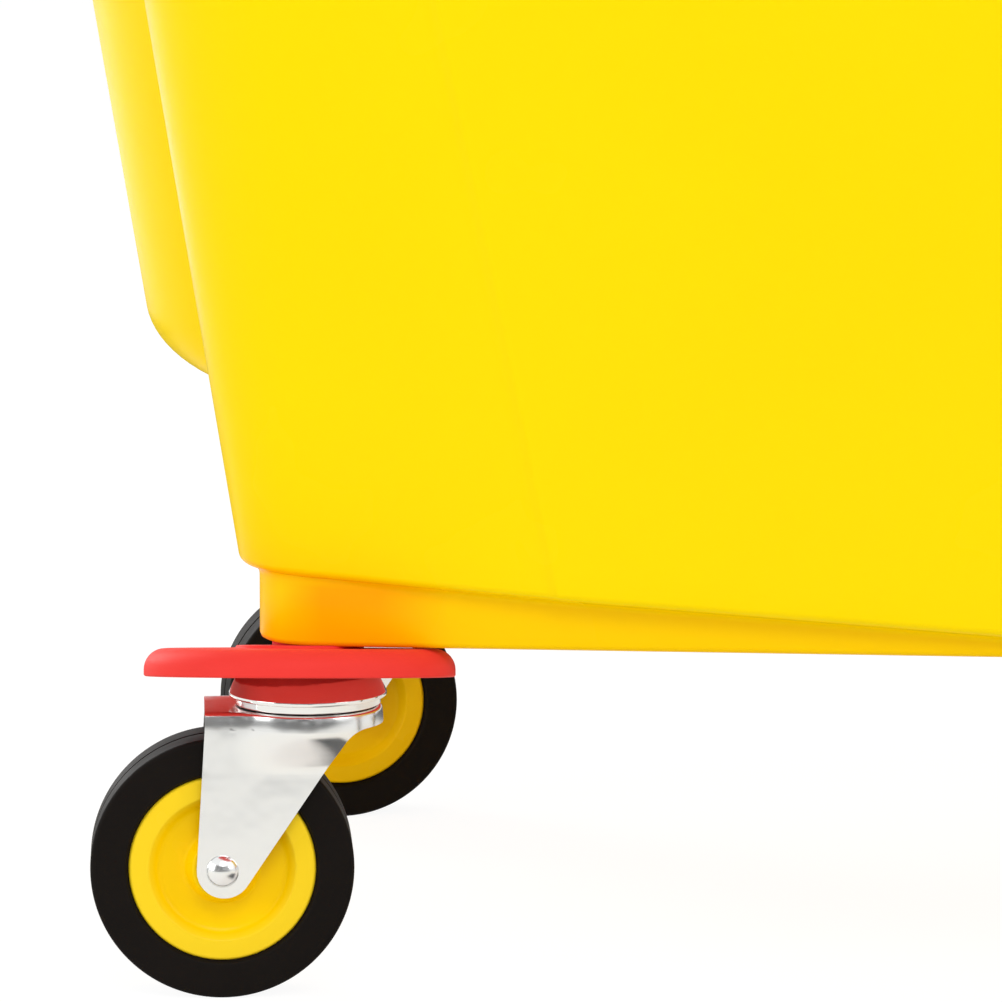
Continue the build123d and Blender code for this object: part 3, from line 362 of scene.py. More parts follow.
def stemPlacing(side):
    # the stem's axis from the floor up, with local X along the way from the wheel to the stem
    turn = np.radians(caster["turn"][side])
    outX, outY = outward(side)
    place = (bucket["tubX"] + outX * caster["stemX"], outY * caster["stemY"], 0)
    return axes(place, (np.cos(turn), np.sin(turn), 0), (0, 0, 1))


def wheelPlacing(side):
    # the axle: local X to the stem, local Y up, local Z out to the bolt's head
    stem = stemPlacing(side)
    forth = stem[:3, 0]
    place = stem[:3, 3] - caster["trail"] * forth + np.array([0, 0, caster["axleZ"]])
    return axes(place, forth, (forth[1], -forth[0], 0))


# bucket

def ringParts():
    # for every point round the bucket: which quarter it is in, which stretch of it, and how far along that
    n = (bucket["endPoints"], bucket["arcPoints"], bucket["longPoints"])
    kind = np.concatenate([np.full(n[0], 0), np.full(n[1], 1), np.full(n[2] + 1, 2)])
    far = np.concatenate([np.linspace(0, 1, n[0], endpoint=False), np.linspace(0, 1, n[1], endpoint=False),
                          np.linspace(0, 1, n[2] + 1)])
    last = len(kind) - 1
    forth = slice(0, last)
    back = slice(last, 0, -1)
    quarters = [(1, 1, forth), (-1, 1, back), (-1, -1, forth), (1, -1, back)]
    quarterX = np.concatenate([np.full(last, q[0]) for q in quarters])
    quarterY = np.concatenate([np.full(last, q[1]) for q in quarters])
    return (quarterX, quarterY, np.concatenate([kind[q[2]] for q in quarters]),
            np.concatenate([far[q[2]] for q in quarters]))


signX, signY, stretch, along = ringParts()
quarterTurn = np.linspace(0, np.pi / 2, 7)


def ringPlan(halfL, halfW, corner, crease, sweepDeg, step=0.0):
    # flat end, round corner and long side; the long side falls back past the crease by a soft ramp:
    # half of (t + root of t squared plus softness squared), times the sweep's tangent, and by a small step;
    # its points crowd at the crease, from both sides, by the powers 2 and 1.5 of their share
    sweep = np.radians(sweepDeg)
    creaseX = halfL - crease
    midX = halfL - corner
    swept = np.cos(sweep) * halfW + np.sin(sweep) * creaseX - corner - np.sin(sweep) * midX
    midY = swept / np.cos(sweep) - step
    turn = along * (np.pi / 2 - sweep)
    near = np.clip(1 - 2 * along, 0, 1) ** 2
    far = np.clip(2 * along - 1, 0, 1) ** 1.5
    longX = creaseX + (midX + corner * np.sin(sweep) - creaseX) * near - creaseX * far
    past = longX - creaseX
    ramp = (past + np.sqrt(past ** 2 + bucket["creaseSoft"] ** 2)) / 2
    t = np.clip(past / bucket["creaseFall"], 0, 1)
    longY = halfW - np.tan(sweep) * ramp - step * t * t * (3 - 2 * t)
    x = np.choose(stretch, [halfL + 0 * along, midX + corner * np.cos(turn), longX])
    y = np.choose(stretch, [midY * along, midY + corner * np.sin(turn), longY])
    return x * signX, y * signY


def wallRing(z, grow=0.0, spout=True):
    # the wall leans out steadily and its corners open; the spout stands out of the left end as an arc in plan
    d = bucket
    z = z + 0 * along
    low = d["baseZ"] + d["stepEnd"]
    rise = (z - low) / (d["rimZ"] - low)
    halfL = d["stepHalfL"] + rise * (d["rimHalfL"] - d["stepHalfL"]) + grow
    halfW = d["stepHalfW"] + rise * (d["rimHalfW"] - d["stepHalfW"]) + grow
    corner = d["cornerLow"] + rise * (d["cornerHigh"] - d["cornerLow"]) + grow
    crease = d["creaseLow"] + rise * (d["creaseHigh"] - d["creaseLow"]) + grow
    x, y = ringPlan(halfL, halfW, corner, crease, d["creaseSweep"], d["creaseStep"])
    if spout:
        x = x - spoutOut(y, z, grow) * (signX < 0) * (stretch == 0)
    return np.stack([x + d["tubX"], y, z], -1)


def spoutOut(y, z, grow):
    # circular arc over the spout's width, eased into the wall at its sides; its underside is flat for a share
    # of the reach, then round
    d = bucket
    bottom = d["baseZ"] + d["spoutBottom"] - min(grow, 0)
    share = (z - bottom) / (d["rimZ"] - bottom)
    width = d["spoutLow"] + share * (d["spoutHigh"] - d["spoutLow"]) + grow
    reach = d["spoutReach"]
    radius = (width ** 2 + reach ** 2) / (2 * reach)
    inside = np.sqrt(np.maximum(radius ** 2 - y ** 2, 0)) - radius + reach
    slope = width / (radius - reach)
    bulge = np.where(np.abs(y) < width, inside, -slope * (np.abs(y) - width))
    eased = (bulge + np.sqrt(bulge ** 2 + d["spoutSoft"] ** 2)) / 2
    h = np.clip((z - bottom) / d["spoutRound"], 0, 1)
    flat = d["spoutFlat"] * (z > bottom)
    return eased * (flat + (1 - flat) * np.sqrt(1 - (1 - h) ** 2))


def spoutLevels():
    # heights over the spout's bottom, closest together at the bottom of its round underside
    return bucket["spoutRound"] * (1 - np.cos(np.linspace(0, np.pi / 2, 15))) + bucket["spoutLift"]


def stepZ(x):
    # the step under the wall runs down from the ends to the middle
    return bucket["baseZ"] + bucket["stepMid"] + stepSlope() * np.abs(x - bucket["tubX"])


def plinthRing(inset, z):
    # the plinth's plan, drawn in by the inset down to its sharpest corners
    d = bucket
    corner = d["plinthCorner"] - min(inset, d["plinthCorner"] - d["sharpest"])
    x, y = ringPlan(d["plinthHalfL"] - inset, d["plinthHalfW"] - inset, corner, d["plinthCrease"], 0.0)
    return np.stack([x + d["tubX"], y, z + 0 * along], -1)


def rimRing(grow, z):
    # the rim keeps the plan of the wall's top, grown or shrunk level by level
    ring = wallRing(bucket["rimZ"], grow)
    ring[:, 2] = z
    return ring


def padRing(inset, z):
    # rectangle under the floor with small round corners
    d = bucket
    t = np.linspace(0, 2 * np.pi, d["padPoints"], endpoint=False) + np.pi / d["padPoints"]
    radius = d["padCorner"]
    x = np.sign(np.cos(t)) * (d["padHalfL"] - radius) + (radius - inset) * np.cos(t)
    y = np.sign(np.sin(t)) * (d["padHalfW"] - radius) + (radius - inset) * np.sin(t)
    return np.stack([x + d["tubX"], y, z + 0 * t], -1)


def outerRings():
    # the plinth from its lower edge, the step, the round lower edge of the wall, and the wall up to the rim
    d = bucket
    rings = [plinthRing(inset, d["baseZ"] + up) for inset, up in d["plinthEdge"]]
    top = stepZ(rings[-1][:, 0])
    # a cove leads out to the wall: the way out goes by the cube of the way up
    foot = plinthRing(0.0, np.maximum(top - d["cove"], d["baseZ"] + d["coveFoot"]))
    r = d["edgeRound"]
    edge = wallRing(top, -r, False)
    for t in np.linspace(0, 1, 8):
        rings.append(foot + (edge - foot) * np.array([t ** 3, t ** 3, t]))
    for a in quarterTurn[1:]:
        rings.append(wallRing(top + r * (1 - np.cos(a)), -r * (1 - np.sin(a)), False))
    start = rings[-1][:, 2]
    spout = d["baseZ"] + d["spoutBottom"]
    far, near = d["belowSpout"]
    for t in (0.25, 0.5, 0.75, 1.0):
        rings.append(wallRing(start + (spout - far - start) * t))
    above = np.linspace(spout + d["overSpout"], d["rimZ"] - d["rimThick"] - d["underRim"], 14)
    for z in np.concatenate([[spout - near], spout + spoutLevels(), above]):
        rings.append(wallRing(z))
    return rings


def rimRings():
    # out under the rim, down inside its lip and round the lip's foot, then up and over the top,
    # each level by its growth over the wall and its height
    d = bucket
    out = d["rimOut"]
    lipIn = out - d["lipThick"]
    top = d["rimZ"]
    under = top - d["rimThick"]
    foot = top - d["lip"]
    levels = [(0.3, under - 1.5), (1.5, under - 0.3), (3, under), (lipIn - 1, under),
              (lipIn - 0.2, under - 0.4), (lipIn, under - 1.2), (lipIn, foot + 1.2),
              (lipIn + 0.5, foot + 0.2), (out - d["lipThick"] / 2, foot), (out - 0.5, foot + 0.3),
              (out, foot + 1.4)]
    r = d["rimRound"]
    levels += [(out - r * (1 - np.cos(a)), top - r * (1 - np.sin(a))) for a in quarterTurn]
    levels.append((d["rimFlat"], top))
    r = d["mouthRound"]
    levels += [(r * (1 - np.sin(a)) - d["wall"], top - r * (1 - np.cos(a))) for a in quarterTurn]
    return [rimRing(grow, z) for grow, z in levels]


def innerRings():
    # the inner wall down to the step, then the inner plinth and the floor
    d = bucket
    wall = d["wall"]
    spout = d["baseZ"] + d["spoutBottom"]
    low = d["baseZ"] + d["stepEnd"] + wall
    floorZ = d["baseZ"] + d["floor"]
    near, far = d["belowSpoutIn"]
    above = np.linspace(d["rimZ"] - d["underRimIn"], spout + d["overSpout"], 12)
    below = [spout - near, spout - far, low + d["overStepIn"]]
    levels = np.concatenate([above, spout + wall + spoutLevels()[::-1], below])
    rings = [wallRing(z, -wall) for z in levels]
    rings += [wallRing(low + 2, -wall - 0.6, False), wallRing(low + 0.4, -wall - 2.5, False)]
    for inset, z in ((-0.4, low - 0.4), (0.0, low - 1.5), (0.0, floorZ + 5), (1.5, floorZ + 1.5),
                     (5.0, floorZ), (6.0, floorZ)):
        rings.append(plinthRing(wall + inset, z))
    return rings


def makeBucket():
    # one closed skin from the underside over the rim to the inner floor, the pad and the bosses for the stems
    d = bucket
    rings = outerRings() + rimRings() + innerRings()
    edge = d["padEdge"]
    pad = [padRing(inset, d["baseZ"] - down) for inset, down in (
        (0.0, -edge), (0.0, d["pad"] - edge), (edge, d["pad"]))]
    grids = [(np.stack(rings), True), (np.stack(pad), True)]
    caps = [rings[0][::-1], rings[-1], pad[0], pad[-1][::-1]]
    foot = d["baseZ"] + d["floor"] - d["sunk"]
    top = d["baseZ"] + d["bossTop"]
    boss = rounded([(0.0, foot, 0), (d["boss"], foot, 0), (d["boss"], top, d["bossRound"]), (0.0, top, 0)])
    for side in sides:
        grids.append((lathe(boss, d["bossPoints"], stemPlacing(side)), True))
    return pieceFrom("bucketShell", grids, material["bucketPolypropylene"], "bucket", ["bucket_tub"],
                     caps)


bucketShell = makeBucket()
print("bucket:", len(bucketShell.data.polygons), "faces")


# bumpers and swivel cups

bumper = {"underZ": 91.0, "thick": 8.0, "radius": 44.3, "edge": 6.0, "lowEdge": 0.7, "tip": 9.0, "roll": 0.7,
          "out": 2.0, "mouth": 21.2, "recess": 4.0, "inner": 9.0, "boss": 18.0, "bossHigh": 0.9, "neck": 10.0,
          "neckTop": 101.7, "bore": 5.6}


def bumperPlacing(side):
    # the disc's underside, just outside the stem, tipped up at the long side and a touch down at the end
    outX, outY = outward(side)
    tip, roll = np.radians(bumper["tip"]), np.radians(bumper["roll"])
    away = np.array([outX * bumper["out"], outY * bumper["out"], bumper["underZ"]])
    up = np.array([outX * np.sin(roll), -outY * np.sin(tip), np.cos(tip)])
    up /= np.linalg.norm(up)
    level = np.cross((0, 1, 0), up)
    return axes(stemPlacing(side)[:3, 3] + away, level / np.linalg.norm(level), up)


def makeBumper(side):
    # tipped disc with a fat upper edge, a crisp lower one, a recess over the cup and a low round rise on top,
    # then an upright neck to the tub
    d = bumper
    top = d["thick"] + d["bossHigh"]
    start = (d["inner"], d["recess"], 0)
    disc = rounded([start, (d["mouth"] - 1.5, d["recess"], 0.8), (d["mouth"], 0.0, 0.5),
                    (d["radius"], 0.0, d["lowEdge"]), (d["radius"], d["thick"], d["edge"]),
                    (d["boss"] + 0.4, d["thick"], 0.3), (d["boss"], top, 0.4), (d["inner"], top, 0),
                    start], 9)
    neck = ringProfile(d["bore"], d["neck"], d["underZ"] + d["recess"], d["neckTop"], 0.2)
    grids = [(lathe(disc, 128, bumperPlacing(side)), True), (lathe(neck, 64, stemPlacing(side)), True)]
    return pieceFrom("bumper." + side, grids, material["bumperVinyl"], "bucket", ["bumper_" + side])


race = {"bottomZ": 83.3, "ringTop": 85.5, "ring": 20.8, "rim": 22.5, "rimRound": 0.7, "rimHigh": 1.2,
        "top": 18.6, "topZ": 94.5, "bore": 5.1}


def makeRace(side):
    # lower ring, then a cup with a rolled rim that narrows upwards into the bumper's recess
    d = race
    profile = rounded([(d["bore"], d["bottomZ"], 0), (d["ring"], d["bottomZ"], 0.4),
                       (d["ring"], d["ringTop"], 0.2), (d["rim"], d["ringTop"], d["rimRound"]),
                       (d["rim"], d["ringTop"] + d["rimHigh"], 0.5), (d["top"], d["topZ"], 0.2),
                       (d["bore"], d["topZ"], 0), (d["bore"], d["bottomZ"], 0)], 6)
    grids = [(lathe(profile, 128, stemPlacing(side)), True)]
    return pieceFrom("race." + side, grids, material["polishedSteel"], "bucket", ["swivel_race_" + side])


# wheels

wheel = {"radius": 37.5, "half": 11.5, "shoulder": 1.4, "bead": 26.75, "tread": 0.6, "treadWide": 0.8,
         "hub": 26.65, "hubHalf": 10.8, "rimIn": 20.5, "slopeIn": 18.2, "slopeDeep": 2.8, "boss": 10.6,
         "bossTop": 8.6, "bossHalf": 12.0, "bore": 5.55, "dish": 3.8}


def makeTyre(side):
    # flat tread with a fine groove round its middle, round shoulders, flat sides that meet the hub's rim
    d = wheel
    out = d["radius"]
    half = d["half"]
    start = (d["bead"], -half + 1.2, 0)
    ring = [start, (d["bead"] + 0.9, -half, 0.6), (out, -half, d["shoulder"]),
            (out, -d["treadWide"], 0.25), (out - d["tread"], -0.3 * d["treadWide"], 0.15)]
    profile = rounded(ring + mirrored(ring) + [start], 8)
    grids = [(lathe(profile, 144, wheelPlacing(side)), True)]
    return pieceFrom("tyre." + side, grids, material["tyreRubber"], "wheel_" + side, ["tyre_" + side])


def makeHub(side):
    # raised rim, a soft slope down from it, a gently dished web and a boss, the same on both faces
    d = wheel
    half = d["hubHalf"]
    start = (d["bore"], d["bossHalf"], 0)
    face = [start, (d["bossTop"], d["bossHalf"], 0.8), (d["boss"], half - d["dish"], 1.2),
            (d["slopeIn"], half - d["slopeDeep"], 3.6), (d["rimIn"] + 0.4, half, 1.0),
            (d["hub"] - 0.5, half, 0.9), (d["hub"], half - 1.0, 0.4)]
    profile = rounded(face + mirrored(face) + [start], 6)
    placing = wheelPlacing(side)
    made = pieceFrom("hub." + side, [(lathe(profile, 144, placing), True)], material["hubPolypropylene"],
                     "wheel_" + side, ["wheel_hub_" + side])
    # painted sheen on the front hubs' rims only
    if side.startswith("front"):
        markPaintedSheen(made, placing, d["slopeIn"] + 1, d["rimIn"] + 0.5)
    return made


def markPaintedSheen(made, placing, inside, outside):
    # share of painted sheen: 0 within the first radius round the placing's axis, 1 past the second, a
    # straight ramp between
    flat = np.empty(len(made.data.vertices) * 3, np.float32)
    made.data.vertices.foreach_get("co", flat)
    local = (flat.reshape(-1, 3) / mm - placing[:3, 3]) @ placing[:3, :3]
    radius = np.hypot(local[:, 0], local[:, 1])
    share = np.clip((radius - inside) / (outside - inside), 0, 1)
    made.data.attributes.new("paintedSheen", "FLOAT", "POINT").data.foreach_set("value", share.astype(np.float32))


axle = {"shank": 3.0, "head": 4.6, "dome": 2.4, "headHigh": 2.7, "legZ": 15.1, "nut": 5.77, "nutHigh": 5.0,
        "end": 1.0}


def makeAxle(side):
    # head domed as a slice of a ball on the outer leg, shank, six-sided nut and bolt's end on the inner leg
    d = axle
    foot = d["legZ"]
    last = -foot - d["nutHigh"]
    ball = (d["head"] ** 2 + d["dome"] ** 2) / (2 * d["dome"])
    turn = np.linspace(0, np.arcsin(d["head"] / ball), 14)
    dome = np.stack([ball * np.sin(turn), foot + d["headHigh"] - ball * (1 - np.cos(turn))], -1)
    stem = rounded([(d["head"], foot, 0), (d["shank"], foot, 0), (d["shank"], last - d["end"], 0.4),
                    (0, last - d["end"], 0)], 5)
    bolt = np.concatenate([dome, stem])
    nut = rounded([(d["shank"], -foot, 0), (d["nut"], -foot, 0), (d["nut"], last, 0.5), (d["shank"], last, 0),
                   (d["shank"], -foot, 0)], 3)
    placing = wheelPlacing(side)
    return pieceFrom("axle." + side, [(lathe(bolt, 48, placing), True), (lathe(nut, 6, placing), True)],
                     material["zincPlate"], "caster_" + side, ["axle_bolt_" + side])


# pressed forks, in the wheel's axes; the turns are in radians

fork = {"rise": 45.5, "sheet": 2.5, "bend": 1.4, "bendTurn": 1.45, "brow": 0.2, "legZ": 15.1, "back": -4.8,
        "crown": 21.5, "headSoft": 3.0, "headEase": 15.0, "foot": 7.8, "footX": 0.5, "footTurn": 0.5,
        "leanDeg": 56.0, "lipY": 40.6, "hollow": 8.0, "hollowTurn": 0.95, "legTop": 36.0, "legLow": -3.0,
        "legMid": 2.0, "hole": 5.2, "flareFrom": 28.5, "edge": 0.45, "edgeDeg": 50, "closed": 0.02}


def forkFront(y):
    # front edge of a leg: foot circle, straight line tangent to it, then a hollow arc into the crown's lip
    d = fork
    lean = np.radians(d["leanDeg"])
    toeY = -d["foot"] * np.cos(lean)
    toeX = d["footX"] + d["foot"] * np.sin(lean)
    hollowY = d["lipY"] - d["hollow"]
    joinY = hollowY + d["hollow"] * np.cos(lean)
    hollowX = toeX + (joinY - toeY) / np.tan(lean) + d["hollow"] * np.sin(lean)
    circle = d["footX"] + np.sqrt(np.maximum(d["foot"] ** 2 - y ** 2, 0))
    line = toeX + (y - toeY) / np.tan(lean)
    arc = hollowX - np.sqrt(np.maximum(d["hollow"] ** 2 - (y - hollowY) ** 2, 0))
    return np.where(y < toeY, circle, np.where(y < joinY, line, arc))


def forkBack(y):
    # back edge of a leg: foot circle, then a line to the crown's back corner
    d = fork
    circle = d["footX"] - np.sqrt(np.maximum(d["foot"] ** 2 - y ** 2, 0))
    share = np.clip(y / d["lipY"], 0, 1)
    line = (d["footX"] - d["foot"]) * (1 - share) + d["back"] * share
    return np.where(y < 0, circle, line)


def forkSide(x):
    # half width of the crown: the legs' own width, eased into the round head by a soft maximum
    d = fork
    middle = caster["trail"]
    head = np.sqrt(np.maximum(d["crown"] ** 2 - (x - middle) ** 2, 0))
    soft = d["headSoft"] * np.clip((middle - x) / d["headEase"], 0, 1)
    eased = (d["legZ"] + head + np.sqrt((d["legZ"] - head) ** 2 + soft ** 2)) / 2
    return np.where(x < middle, eased, head)


def lift(plan, y):
    # a plan's points (x, z) at height y
    return np.stack([plan[:, 0], y + 0 * plan[:, 0], plan[:, 1]], -1)


def forkSheet():
    # outer surface: crown, bend and lip all round, then a leg on each side
    d = fork
    middle = caster["trail"]
    lipX = float(forkFront(np.array(d["lipY"])))
    turn = np.arccos((lipX - middle) / d["crown"])
    legX = np.concatenate([np.linspace(d["back"], d["legMid"], 8, endpoint=False),
                           np.linspace(d["legMid"], middle, 26, endpoint=False),
                           middle + d["crown"] * np.cos(np.linspace(np.pi / 2, turn, 20))])
    tipX = middle + d["crown"] * np.cos(np.linspace(turn, 0, 12)[1:])
    halfX = np.concatenate([legX, tipX])
    half = np.stack([halfX, forkSide(halfX)], -1)
    outline = np.concatenate([half, half[-2::-1] * (1, -1)])
    tangent = np.gradient(outline, axis=0)
    tangent /= np.linalg.norm(tangent, axis=1)[:, None]
    normal = np.stack([-tangent[:, 1], tangent[:, 0]], -1)
    inner = outline - (d["bend"] + d["brow"]) * normal
    across = np.linspace(inner[-1], inner[0], 16)[1:-1]
    loop = np.concatenate([inner, across])
    ray = loop - (middle, 0)
    hole = d["hole"] * ray / np.linalg.norm(ray, axis=1)[:, None] + (middle, 0)
    crown = np.stack([lift(hole + (loop - hole) * t, d["rise"]) for t in np.linspace(0, 1, 7)])
    rows = []
    for a in np.linspace(0, d["bendTurn"], 8):
        rows.append(lift(inner + normal * d["bend"] * np.sin(a), d["rise"] - d["bend"] * (1 - np.cos(a))))
    # the brow under the bend leans in by the square of its height
    brow = d["rise"] - d["bend"] - d["lipY"]
    for t in np.linspace(1, 0, 6)[1:]:
        rows.append(lift(outline - normal * d["brow"] * t * t, d["lipY"] + brow * t))
    share = (legX - d["back"]) / (lipX - d["back"])
    down = np.concatenate([d["lipY"] - d["hollow"] * (1 - np.cos(np.linspace(0, d["hollowTurn"], 9))),
                           np.linspace(d["legTop"], d["legLow"], 24),
                           -d["foot"] * np.sin(np.linspace(d["footTurn"], np.pi / 2, 9))])[:, None]
    x = forkBack(down) + share * (forkFront(down) - forkBack(down))
    t = np.clip((down - d["flareFrom"]) / (d["lipY"] - d["flareFrom"]), 0, 1)
    z = d["legZ"] + (forkSide(x) - d["legZ"]) * t * t * (3 - 2 * t)
    leg = np.stack([x, down + 0 * x, z], -1)
    return [(crown, True), (np.stack(rows), False), (leg, False), (leg * (1, 1, -1), False)]


def makeFork(side):
    # the sheet's outer surface, thickened inwards, with its cut edges broken
    grids = [(placed(grid, wheelPlacing(side)), wrap) for grid, wrap in forkSheet()]
    made = pieceFrom("fork." + side, grids, material["zincPlate"], "caster_" + side, ["caster_fork_" + side])
    mesh = made.data
    crown = max(mesh.polygons, key=lambda face: face.center.z)
    if crown.normal.z < 0:
        mesh.flip_normals()
    thick = made.modifiers.new("sheet", "SOLIDIFY")
    thick.thickness = fork["sheet"] * mm
    thick.offset = -1
    thick.use_even_offset = True
    addBevel(made, fork["edge"], fork["edgeDeg"])
    weld = made.modifiers.new("closed", "WELD")  # where the bevel ran out of room
    weld.merge_threshold = fork["closed"] * mm
    return made


for side in sides:
    makeBumper(side)
    makeRace(side)
    makeTyre(side)
    makeHub(side)
    makeAxle(side)
    makeFork(side)
print("casters done")


# round pieces of the wringer and the lever

wringer = {"shaftX": 76.0, "shaftZ": 424.0, "hingeX": 172.0, "hingeZ": 296.0, "half": 150.0, "shaft": 9.0,
           "hubIn": 152.3, "hubOut": 182.3, "collar": 16.0, "collarWide": 9.0, "bush": 13.0, "bushLong": 8.0,
           "flange": 16.0, "flangeThick": 2.0, "pin": 5.0, "pinHead": 8.0, "pinEnd": 150.3, "headThick": 3.0,
           "play": 0.05}


def crossPlacing(x, z):
    # an axis across the bucket, with local Z to the back
    return axes((bucket["tubX"] + x, 0, z), (1, 0, 0), (0, 1, 0))


def makeShaftPieces():
    # rod, end collar, a flanged bush at each side, and the press plate's pin with a head at each end
    d = wringer
    placing = crossPlacing(d["shaftX"], d["shaftZ"])
    bore = d["shaft"] + d["play"]
    near = -d["hubOut"]
    far = d["hubIn"] + d["collarWide"]
    rod = rounded([(0, near, 0), (d["shaft"], near, 1.0), (d["shaft"], far, 1.0), (0, far, 0)], 3)
    pieceFrom("leverShaft", [(lathe(rod, 48, placing), True)], material["turnedSteel"], "lever",
              ["lever_shaft"])
    collar = ringProfile(bore, d["collar"], d["hubIn"], far, 0.8)
    pieceFrom("endCollar", [(lathe(collar, 64, placing), True)], material["zincPlate"], "lever",
              ["shaft_end_collar"])
    sleeve = ringProfile(bore, d["bush"], d["half"] - d["bushLong"], d["half"], 0.3)
    rim = ringProfile(bore, d["flange"], d["half"], d["half"] + d["flangeThick"], 0.4)
    bushes = [(lathe(part * (1, way), 64, placing), True) for way in (-1, 1) for part in (sleeve, rim)]
    pieceFrom("shaftBushes", bushes, material["naturalAcetal"], "wringer", ["shaft_bushes"])
    tip = d["pinEnd"] + d["headThick"]
    half = [(0, -tip, 0), (d["pinHead"], -tip, 1.2), (d["pinHead"], -d["pinEnd"], 0.2),
            (d["pin"], -d["pinEnd"], 0)]
    pin = rounded(half + mirrored(half), 4)
    pieceFrom("hingePin", [(lathe(pin, 40, crossPlacing(d["hingeX"], d["hingeZ"])), True)],
              material["turnedSteel"], "wringer", ["plate_hinge_pin"])


lever = {"lean": 12.0, "tube": 12.0, "tubeWall": 2.0, "tubeFrom": 24.0, "tubeTo": 476.0, "grip": 16.5,
         "gripFrom": 351.0, "gripTo": 482.0, "grooves": 9, "grooveFrom": 18.0, "groovePitch": 10.0,
         "grooveWide": 3.0, "grooveDeep": 1.2, "grooveLean": 0.3, "play": 0.05}


def leverPlacing():
    # the lever's own axis from the shaft up
    lean = np.radians(lever["lean"])
    middle = -(wringer["hubIn"] + wringer["hubOut"]) / 2
    place = (bucket["tubX"] + wringer["shaftX"], middle, wringer["shaftZ"])
    return axes(place, (np.cos(lean), 0, -np.sin(lean)), (np.sin(lean), 0, np.cos(lean)))


def makeLeverPieces():
    # plain tube, and a grip with a round end and a row of grooves that fits over it
    d = lever
    placing = leverPlacing()
    tube = ringProfile(d["tube"] - d["tubeWall"], d["tube"], d["tubeFrom"], d["tubeTo"], 0.4)
    pieceFrom("leverTube", [(lathe(tube, 64, placing), True)], material["chromeTube"], "lever",
              ["lever_tube"])
    fit = d["tube"] + d["play"]
    lean = d["grooveLean"]
    deep = d["grip"] - d["grooveDeep"]
    corners = [(fit, d["gripFrom"], 0), (d["grip"], d["gripFrom"], 3.0)]
    for groove in range(d["grooves"]):
        low = d["gripFrom"] + d["grooveFrom"] + groove * d["groovePitch"]
        high = low + d["grooveWide"]
        corners += [(d["grip"], low - lean, 0.5), (deep, low + lean, 0.4), (deep, high - lean, 0.4),
                    (d["grip"], high + lean, 0.5)]
    corners += [(d["grip"], d["gripTo"], 6.0), (0, d["gripTo"], 0)]
    bore = [(0, d["tubeTo"], 0), (fit, d["tubeTo"], 0), (fit, d["gripFrom"], 0)]
    grids = [(lathe(rounded(corners, 5), 64, placing), True), (lathe(rounded(bore), 64, placing), True)]
    pieceFrom("leverGrip", grids, material["gripRubber"], "lever", ["lever_grip"])


makeShaftPieces()
makeLeverPieces()
print("shaft and lever done")


# solids that keep their shape: some get softer edges, and all get their finish

softening = {"merge": 0.002, "flatDeg": 2, "edgeDeg": 30}
# body, finish, slot and width of the rounded edge
softPieces = {
    "wringer_housing": ("wringer", "bucketPolypropylene", "wringer_plastic", 1.0),
    "fixed_press_plate": ("wringer", "hubPolypropylene", "plate_plastic", 0.5),
    "press_plate": ("press_plate", "hubPolypropylene", "plate_plastic", 0.6),
    "lever_pinions": ("lever", "filledNylon", "gear_plastic", 0.4),
    "plate_quadrants": ("press_plate", "filledNylon", "gear_plastic", 0.4),
    "lever_hub": ("lever", "powderCoat", "lever_cast", 1.0),
    "lever_bolts": ("lever", "zincPlate", "zinc_steel", 0.4),
}


def softened(node, body, look, width):
    # a merged copy of the solid with every sharp edge rounded off
    d = softening
    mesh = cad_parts[node].data.copy()
    mesh.name = node + ".soft"
    work = bmesh.new()
    work.from_mesh(mesh)
    bmesh.ops.remove_doubles(work, verts=work.verts, dist=d["merge"] * mm)
    bmesh.ops.dissolve_limit(work, angle_limit=np.radians(d["flatDeg"]), verts=work.verts, edges=work.edges)
    work.to_mesh(mesh)
    work.free()
    mesh.materials.clear()
    mesh.materials.append(look)
    mesh.polygons.foreach_set("use_smooth", np.ones(len(mesh.polygons), bool))
    made = hang(bpy.data.objects.new(node + ".soft", mesh), body, [node])
    addBevel(made, width, d["edgeDeg"])


def dress(node, look):
    # a solid that stays as it is, in its new finish
    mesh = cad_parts[node].data
    mesh.materials.clear()
    mesh.materials.append(look)


for node, (body, finish, slot, width) in softPieces.items():
    softened(node, body, material[finish], width)
dress("fixed_plate_screws", material["zincPlate"])
dress("stem_sleeves", material["turnedSteel"])
for side in sides:
    dress("axle_bush_" + side, material["naturalAcetal"])
    dress("caster_stem_" + side, material["zincPlate"])
    dress("swivel_balls_" + side, material["turnedSteel"])
print("solids dressed")


# studio, in metres

floorLook = {"half": 40.0, "colour": "#f4f4f2", "seen": 0.86, "glow": 1.08, "mirrored": 0.5, "dark": 0.12,
             "front": (-0.78, -0.62), "back": (0.25, 0.33), "beside": (0.6, 0.8), "paintedDarkPatch": (-0.12, -0.185),
             "paintedDarkPatchX": (0.03, 0.055), "paintedDarkPatchY": (0.02, 0.04)}


